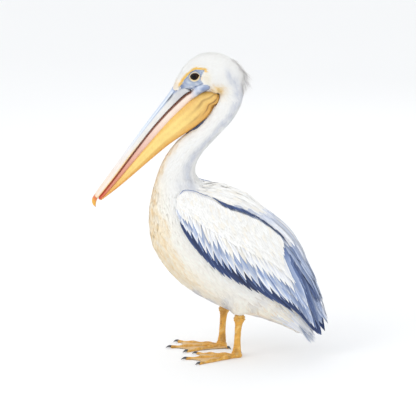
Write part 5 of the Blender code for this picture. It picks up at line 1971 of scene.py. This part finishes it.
# ---------------------------------------------------------------- face and eyes
@dataclass
class Face:
    """The bare skin round one eye, with its lids and the eyeball."""

    bench: Workbench
    terrain: Terrain
    side: Side
    eye_x: float = 0.0262
    eye_y: float = -0.029
    eye_z: float = 0.845
    radius: float = 0.0145
    open_wide: float = 0.0122
    open_high: float = 0.0104
    slant: float = math.radians(17.0)
    socket: float = 0.0185

    def aperture(self, turn: Array) -> Array:
        """Distance from the eye's centre to the lid's edge, an almond with its rear corner higher."""
        turn = turn - self.slant
        wide = self.open_wide * (1 + 0.10 * np.abs(np.cos(turn)) ** 9)
        return 1 / np.sqrt((np.cos(turn) / wide) ** 2 + (np.sin(turn) / self.open_high) ** 2)

    @staticmethod
    def border(middle: Array, turn: Array) -> Array:
        """Distance from the eye's centre to the outline of the bare skin along each turn."""
        corners = FacePatch.OUTLINE - middle
        following = np.roll(corners, -1, axis=0)
        made = np.empty(len(turn))
        for row, angle in enumerate(turn):
            way = np.array((math.cos(angle), math.sin(angle)))
            cross = corners[:, 0] * following[:, 1] - corners[:, 1] * following[:, 0]
            edge = following - corners
            lean = way[0] * edge[:, 1] - way[1] * edge[:, 0]
            lean = np.where(np.abs(lean) < 1e-9, 1e-9, lean)
            reach = cross / lean
            share = (corners[:, 1] * way[0] - corners[:, 0] * way[1]) / lean * -1
            met = (reach > 0) & (share >= -0.001) & (share <= 1.001)
            made[row] = reach[met].min() if met.any() else 0.02
        return made

    def patch(self) -> bpy.types.Object:
        """Bare skin in rings from the lids to the feathers, laid over the head."""
        round_points, rings = 132, 38
        turn = turns(round_points)[0]
        middle = np.array((self.eye_y, self.eye_z))
        inner, outer = self.aperture(turn), self.border(middle, turn) + 0.0016
        part = np.linspace(0, 1, rings)[:, None] ** 1.15
        away = inner + (outer - inner) * part
        y = middle[0] + away * np.cos(turn)
        z = middle[1] + away * np.sin(turn)
        out = np.array([[self.skin_at(*spot) for spot in zip(*row)] for row in zip(y, z)])
        rim = np.array([self.skin_at(middle[0] + self.socket * math.cos(angle),
                                     middle[1] + self.socket * math.sin(angle)) for angle in turn])
        wave = np.fft.rfft(rim)
        wave[9:] = 0
        rim = np.fft.irfft(wave, round_points)
        near = 1 - smooth(self.socket - 0.0015, self.socket + 0.0025, away)
        out = out * (1 - near) + rim * near
        ball = np.sqrt(self.radius ** 2 - inner ** 2) + self.eye_x + 0.0005
        sink = 1 - smooth(0.0, 1.0, (away - inner) / (self.socket - inner))
        beyond = away - inner
        creases = 0.0004 * np.sin(beyond * 2 * math.pi / 0.0030 + 0.6 * np.sin(3 * turn))
        creases = creases * smooth(0.0015, 0.004, beyond) * (1 - smooth(0.011, 0.022, beyond))
        places = np.stack((out, y, z), axis=-1)
        inside = FacePatch.depth(self.beside(places.reshape(-1, 3))).reshape(out.shape)
        rise = 0.0011 * smooth(-0.001, 0.004, inside) - 0.0007
        wrinkle = 0.00045 * ripple(places, 0.010, 9)
        brow = 0.0016 * bell(turn, math.radians(100), 0.7) * bell(beyond, 0.004, 0.003)
        surface = (out + rise) * (1 - sink) + ball * sink + creases + wrinkle + brow
        points = np.stack((self.side.value * surface, y, z), axis=-1)
        made = self.bench.rolled_sheet("face_skin_" + self.side.word, points, capped=False)
        self.face_out(made)
        kept = self.bench.points_of(made)
        gaps = kept[:, 1:] - middle
        beyond = np.linalg.norm(gaps, axis=1) - self.aperture(np.arctan2(gaps[:, 1], gaps[:, 0]))
        depth = FacePatch.depth(self.beside(kept))
        dark = 1 - smooth(0.0005, 0.0065, depth + 0.0012 * ripple(kept, 0.008, 13))
        front = 1 - smooth(-0.068, -0.048, kept[:, 1])
        tint = coats(
            paint(204, 211, 222),
            (paint(168, 181, 204), 0.5 + 0.5 * ripple(kept, 0.013, 12)),
            (paint(100, 120, 162), np.maximum(0.85 * dark, 0.75 * front)),
            (paint(92, 104, 140), 0.45 * bell(beyond, 0.0062, 0.0016)),
            (paint(240, 218, 170), 0.92 * (1 - smooth(0.0022, 0.0050, beyond))))
        return self.bench.finish_piece(made, FACE, tint)

    @staticmethod
    def beside(points: Array) -> Array:
        """The same places moved well clear of the bird's middle, as seen from the side."""
        return points * (0.0, 1.0, 1.0) + (0.05, 0.0, 0.0)

    def skin_at(self, y: float, z: float) -> float:
        """How far out the head's skin lies at one place seen from the side."""
        hit, _, _, _ = self.terrain.tree.ray_cast(Vector((self.side.value * 0.2, y, z)),
                                                  Vector((-self.side.value, 0, 0)))
        return abs(hit.x) if hit is not None and hit.x * self.side.value > 0.004 else 0.010

    def face_out(self, piece: bpy.types.Object) -> None:
        """Turn an open sheet's faces away from the head."""
        normal = sum((face.normal.x * face.area for face in piece.data.polygons), 0.0)
        if normal * self.side.value < 0:
            self.bench.turn_over(piece)

    def lids(self) -> list[bpy.types.Object]:
        """The pale lower lid and the dark upper lid, two soft rolls on the eyeball."""
        made = []
        spans = (("lower", math.radians(185), math.radians(389), 0.0011, paint(240, 216, 160)),
                 ("upper", math.radians(3), math.radians(211), 0.0015, paint(46, 38, 44)))
        for word, start, end, girth, colour in spans:
            turn = np.linspace(start, end, 40)
            reach = self.aperture(turn) + 0.0002
            out = np.sqrt(np.maximum(self.radius ** 2 - reach ** 2, 1e-6)) + self.eye_x + 0.0006
            centre = np.stack((out, self.eye_y + reach * np.cos(turn),
                               self.eye_z + reach * np.sin(turn)), axis=1)
            outward = np.stack((np.zeros(40), np.cos(turn), np.sin(turn)), axis=1)
            round_turn = turns(12)[..., None]
            taper = np.clip(np.sin(np.linspace(0.12, math.pi - 0.12, 40)) * 1.6, 0.25, 1.0)
            size = (girth * taper)[:, None, None]
            rings = (centre[:, None] + size * np.cos(round_turn) * outward[:, None]
                     + size * np.sin(round_turn) * np.array((0.8, 0.0, 0.0)))
            rings[:, :, 0] *= self.side.value
            piece = self.bench.rolled_sheet("lid_%s_%s" % (word, self.side.word), rings)
            made.append(self.bench.finish_piece(piece, FACE, colour))
        return made

    def eyeball(self) -> bpy.types.Object:
        """The eyeball with a slight bulge over the pupil."""
        self.bench.deselect()
        place = np.array((self.side.value * self.eye_x, self.eye_y, self.eye_z)) + self.bench.origin
        bpy.ops.mesh.primitive_uv_sphere_add(segments=48, ring_count=24, radius=self.radius,
                                             location=tuple(place), rotation=(0, math.pi / 2, 0))
        ball = bpy.context.object
        ball.name = ball.data.name = "eyeball_" + self.side.word
        bpy.ops.object.transform_apply(location=True, rotation=True, scale=True)
        bpy.ops.object.shade_smooth()
        points = self.bench.points_of(ball) + self.bench.origin
        gaps = unit(points - place)
        look = unit(np.array((self.side.value, -0.12, 0.02)))
        bulge = 0.0006 * smooth(0.80, 0.97, gaps @ look)
        ball.data.vertices.foreach_set("co", (points + gaps * bulge[:, None]).ravel())
        pole = place + look * (self.radius + 0.0006)
        finish = EyeFinish("eye_" + self.side.word, paint(58, 34, 20), paint(5, 4, 5), 0.0068, tuple(pole))
        ball.data.materials.clear()
        ball.data.materials.append(finish.material())
        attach(ball, "root")
        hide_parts("eye_" + self.side.word)
        log.info("%s: wet dark eye", ball.name)
        return ball

    def build(self) -> None:
        """Make the bare skin, the lids and the eye of one side."""
        self.patch()
        self.lids()
        self.eyeball()


# ---------------------------------------------------------------- legs and feet
@dataclass(frozen=True)
class Toe:
    """One toe: how far it reaches forwards and outwards from the heel, and its girth."""

    name: str
    forward: float
    outward: float
    girth: float


TOES = (Toe("hind", -0.090, -0.180, 0.74), Toe("inner", 0.715, -0.350, 0.92),
        Toe("middle", 0.990, 0.000, 1.00), Toe("outer", 0.810, 0.400, 0.95))
TARSUS_LEVELS = (
    # height, offset from the heel, half width and half depth
    (0.1345, 0.006, 0.0100, 0.0110), (0.1310, 0.006, 0.0115, 0.0125), (0.125, 0.006, 0.0135, 0.0155),
    (0.117, 0.006, 0.0140, 0.0165), (0.106, 0.004, 0.0105, 0.0125), (0.088, 0.002, 0.0082, 0.0100),
    (0.060, 0.000, 0.0078, 0.0096), (0.036, -0.001, 0.0085, 0.0105), (0.024, -0.002, 0.0100, 0.0125),
    (0.0150, -0.003, 0.0105, 0.0135), (0.0060, -0.003, 0.0135, 0.0165), (0.0010, -0.003, 0.0125, 0.0155),
)


@dataclass
class Leg:
    """One bare scaly leg with its webbed foot and claws."""

    bench: Workbench
    side: Side
    heel_y: float
    turn: float
    spacing: float = 0.116
    foot: float = 0.158
    toe_radius: float = 0.0072
    claw: float = 0.015

    SHANK_PITCH, TOE_PITCH = 0.0052, 0.0046
    ANKLE = (0.121, 0.012)     # middle and spread of its knobs
    OCHRE = paint(232, 174, 74)
    # The deep brown is painted shade in the creases and also brown at random; the pale is a painted
    # highlight.
    BROWN_AND_PAINTED_SHADE = paint(146, 96, 42)
    PAINTED_HIGHLIGHT = paint(250, 220, 146)
    WEB = paint(226, 192, 142)

    def at(self, forward: Array | float, outward: Array | float, height: Array | float) -> Array:
        """Points of the foot from its own forward and outward distances."""
        x, y = outward * self.side.value, -forward
        turned = (x * math.cos(self.turn) - y * math.sin(self.turn) + self.side.value * self.spacing / 2,
                  x * math.sin(self.turn) + y * math.cos(self.turn) + self.heel_y, height)
        return np.stack(np.broadcast_arrays(*turned), axis=-1)

    def scaly(self, points: Array, deep: Array) -> Array:
        """Ochre skin with painted shade in its creases, painted highlights in pale patches, and darker
        brown patches at random.
        """
        patches = smooth(0.1, 0.9, ripple(points, 0.018, 71))
        return coats(
            self.OCHRE,
            # painted shade in the creases, painted highlights at random, then darker brown at random
            (self.BROWN_AND_PAINTED_SHADE, 0.8 * deep),
            (self.PAINTED_HIGHLIGHT, 0.45 * patches * (1 - deep)),
            (self.BROWN_AND_PAINTED_SHADE, 0.45 * smooth(0.2, 1.0, ripple(points, 0.026, 72))))

    @staticmethod
    def scutes(distance: Array, pitch: float, sharp: int) -> Array:
        """Cross scutes at an even pitch, as ridges from 0 to 1."""
        return (0.5 + 0.5 * np.cos(2 * math.pi * distance / pitch)) ** sharp

    def reach(self, toe: Toe) -> tuple[Array, Array, Array]:
        """A toe's tip from the heel, and the directions along it and across it."""
        tip = np.array((toe.forward, toe.outward)) * self.foot
        ahead = tip / np.linalg.norm(tip)
        return tip, ahead, np.array((-ahead[1], ahead[0]))

    def tarsus(self) -> bpy.types.Object:
        """The shank from the knobbly ankle to the root of the toes."""
        z, lean, half, depth = columns(TARSUS_LEVELS, 110)
        turn = turns(32)
        plates = smooth(-0.1, 0.7, -np.cos(turn)) * self.scutes(z, self.SHANK_PITCH, 6)
        plates = plates * smooth(0.016, 0.026, z) * (1 - smooth(0.108, 0.118, z))
        around = np.stack(np.broadcast_arrays(np.cos(turn), np.sin(turn), z / 0.012), axis=-1)
        rough = 0.0003 + 0.0013 * bell(z, *self.ANKLE) + 0.0008 * bell(z, 0.016, 0.010)
        swell = 1 - 0.0006 * plates / 0.008 + ripple(around, 0.9, 73) * rough / 0.010
        x = self.side.value * self.spacing / 2 + half * np.sin(turn) * swell
        y = self.heel_y + lean + depth * np.cos(turn) * swell
        rings = np.stack(np.broadcast_arrays(x, y, z), axis=-1)
        made = self.bench.rolled_sheet("shank_" + self.side.word, rings)
        points = self.bench.points_of(made)
        ahead = smooth(0.0, 0.006, self.heel_y - points[:, 1] + 0.002)
        ankle_patches = bell(points[:, 2], *self.ANKLE) * smooth(0.1, 0.9, -ripple(points, 0.009, 74))
        # painted shade in the grooves between the front scutes, with darker patches at random over the
        # ankle
        deep = 0.8 * self.scutes(points[:, 2], self.SHANK_PITCH, 6) * ahead + 0.5 * ankle_patches
        return self.bench.finish_piece(made, SCUTE, self.scaly(points, np.clip(deep, 0, 1)),
                                       ("tarsus_" + self.side.word,))

    def toe(self, toe: Toe) -> bpy.types.Object:
        """One jointed toe with a flat sole and cross scutes on top."""
        tip, _, square = self.reach(toe)
        part = np.linspace(0.02, 1.0, 64)[:, None]
        joints = 0.13 * (toe.name != "hind") * np.cos(2 * math.pi * 3 * part)
        radius = self.toe_radius * toe.girth * (1.12 - 0.50 * part + joints)
        radius = radius * np.where(part > 0.985, 0.8, 1.0)
        turn = turns(18)
        step = self.scutes(part * np.linalg.norm(tip), self.TOE_PITCH, 5)
        top = smooth(0.2, 0.9, np.cos(turn))
        high = radius * 0.92 * (1 + np.cos(turn)) - 0.15 * radius - 0.0005 * top * step
        off = radius * np.sin(turn)
        rings = self.at(tip[0] * part + square[0] * off, tip[1] * part + square[1] * off,
                        np.maximum(high, 0.0))
        made = self.bench.rolled_sheet("toe_%s_%s" % (self.side.word, toe.name), rings)
        points = self.bench.points_of(made)
        heel = self.at(0.0, 0.0, 0.0)
        far = np.linalg.norm(points[:, :2] - heel[:2], axis=1)
        # painted shade in the grooves between the scutes on top
        deep = 0.7 * self.scutes(far, self.TOE_PITCH, 5) * smooth(0.002, 0.008, points[:, 2])
        replaced = ("foot_" + self.side.word,) if toe.name == "middle" else ()
        return self.bench.finish_piece(made, SCUTE, self.scaly(points, deep), replaced)

    def web(self, first: Toe, second: Toe) -> bpy.types.Object:
        """The web between two toes: thin skin, hollow at its free edge, with fine folds."""
        across = np.linspace(0, 1, 26)[None]
        down = np.linspace(0.02, 1, 30)[:, None]
        hollow = 0.115 if first.name != "hind" else 0.20
        stretch = 0.955 - hollow * np.sin(math.pi * across)
        forward = (first.forward + (second.forward - first.forward) * across) * stretch * down * self.foot
        outward = (first.outward + (second.outward - first.outward) * across) * stretch * down * self.foot
        middle = np.sin(math.pi * across)
        folds = 0.0005 * np.sin(2 * math.pi * 6 * across + 2 * down) * middle * smooth(0.1, 0.5, down)
        high = 0.0040 + 0.0024 * (1 - down) - 0.0016 * middle + folds
        made = self.bench.draped_grid("web_%s_%s" % (self.side.word, second.name),
                                      self.at(forward, outward, high))
        if self.side is Side.RIGHT:
            self.bench.turn_over(made)
        self.bench.apply(made, "SOLIDIFY", thickness=0.0016, offset=0.0)
        points = self.bench.points_of(made)
        streak = 0.5 + 0.5 * ripple(points * np.array((3.0, 1.0, 1.0)), 0.02, 75)
        return self.bench.finish_piece(made, SCUTE, mix(self.WEB, self.OCHRE, 0.5 * streak))

    def claws(self) -> None:
        """Four small hooked claws."""
        for toe in TOES:
            tip, ahead, square = self.reach(toe)
            table = ((-0.0030, 0.0056, 0.90, 0.0034), (0.0003, 0.0056, 1.00, 0.0038),
                     (0.30 * self.claw, 0.0060, 0.85, 0.0034), (0.65 * self.claw, 0.0048, 0.55, 0.0024),
                     (self.claw, 0.0016, 0.10, 0.0006))
            far, middle, width, half = columns(table, 20)
            turn = turns(14)
            spread = 0.0036 * toe.girth * width * np.sin(turn)
            node = "claw_%s_%s" % (self.side.word, toe.name)
            made = self.bench.rolled_sheet("horn_" + node, self.at(
                tip[0] + ahead[0] * far + square[0] * spread, tip[1] + ahead[1] * far + square[1] * spread,
                np.maximum(middle + half * np.cos(turn), 0.0004)))
            shade = 0.5 + 0.5 * ripple(self.bench.points_of(made), 0.005, 76)
            tint = mix(paint(38, 40, 48), paint(92, 92, 100), shade)
            self.bench.finish_piece(made, CLAW, tint, (node,))

    def build(self) -> None:
        """Make the whole leg."""
        self.tarsus()
        for toe in TOES:
            self.toe(toe)
        for first, second in zip(TOES, TOES[1:]):
            self.web(first, second)
        self.claws()


# ---------------------------------------------------------------- studio
@dataclass
class Studio:
    """Plain pale floor, soft light and a long lens at the bird's left side."""

    bench: Workbench
    azimuth: float = 98.0
    elevation: float = 13.0
    distance: float = 14.0
    frame_width: float = 1.248
    aim_right: float = 0.006
    aim_up: float = 0.429

    def floor(self) -> None:
        """A wide pale floor."""
        self.bench.deselect()
        bpy.ops.mesh.primitive_plane_add(size=60.0)
        floor = bpy.context.object
        floor.name = "studio_floor"
        tree = ShaderTree("studio_floor")
        cloud = tree.add("TexNoise", "Fac", {"Scale": 0.8, "Vector": tree.place})
        tone = tree.add("MapRange", "Result", {"To Min": 0.93, "To Max": 0.95, "Value": cloud})
        tree.fill(tree.shader, {"Roughness": 0.9, "Base Color": tone})
        floor.data.materials.append(tree.material)

    def light(self, name: str, place: tuple[float, float, float], size: float, power: float) -> None:
        """One soft square lamp that looks at the bird."""
        lamp = bpy.data.lights.new(name, "AREA")
        lamp.size = size
        lamp.energy = power
        made = bpy.data.objects.new(name, lamp)
        bpy.context.scene.collection.objects.link(made)
        made.location = place
        way = Vector((0.0, 0.0, 0.45)) - Vector(place)
        made.rotation_euler = way.to_track_quat("-Z", "Y").to_euler()

    def sky(self) -> None:
        """Even pale light from all round."""
        world = bpy.data.worlds.new("studio_air")
        bpy.context.scene.world = world
        world.use_nodes = True
        back = world.node_tree.nodes["Background"]
        back.inputs["Color"].default_value = (0.97, 0.985, 1.0, 1.0)
        back.inputs["Strength"].default_value = 1.0

    def camera(self) -> None:
        """The camera, level with its sides and far enough for a flat view."""
        turn, rise = math.radians(self.azimuth), math.radians(self.elevation)
        back = Vector((math.sin(turn) * math.cos(rise), -math.cos(turn) * math.cos(rise), math.sin(rise)))
        right = Vector((math.cos(turn), math.sin(turn), 0.0))
        up = back.cross(right)
        aim = Vector(self.bench.origin) + right * self.aim_right + up * self.aim_up
        data = bpy.data.cameras.new("camera")
        data.sensor_width = 36.0
        data.lens = 36.0 * self.distance / self.frame_width
        data.clip_end = 200.0
        made = bpy.data.objects.new("camera", data)
        bpy.context.scene.collection.objects.link(made)
        made.location = aim + back * self.distance
        made.rotation_euler = (-back).to_track_quat("-Z", "Y").to_euler()
        bpy.context.scene.camera = made

    def build(self) -> None:
        """Set the whole studio up."""
        self.floor()
        self.sky()
        self.light("key_lamp", (2.6, -2.4, 3.0), 2.2, 37.0)
        self.light("fill_lamp", (2.2, 2.8, 1.6), 2.6, 6.0)
        self.light("rear_lamp", (-2.8, 0.4, 2.2), 2.4, 10.0)
        self.camera()
        bpy.context.scene.view_settings.view_transform = "Standard"


def main() -> None:
    """Build the pelican and its studio."""
    logging.basicConfig(level=logging.INFO, format="%(message)s")
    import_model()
    bench = Workbench()
    Studio(bench).build()
    Bill(bench).build()
    markings = Markings()
    skin = Skin(bench, markings)
    terrain = Terrain(bench, skin.build())
    Coat(bench, markings, terrain, skin).build()
    NapeCrest(bench, terrain).build()
    bed = WingBed()
    Mantle(bench, bed).build()
    for side in Side:
        FoldedWing(bench, bed, side).build()
        Face(bench, terrain, side).build()
    TailFan(bench).build()
    TailCoverts(bench).build()
    for side in Side:
        Leg(bench, side, HEEL_Y[side], FOOT_TURN[side]).build()
    log.info("in all %d triangles", bench.triangles)


if __name__ == "__main__":
    main()
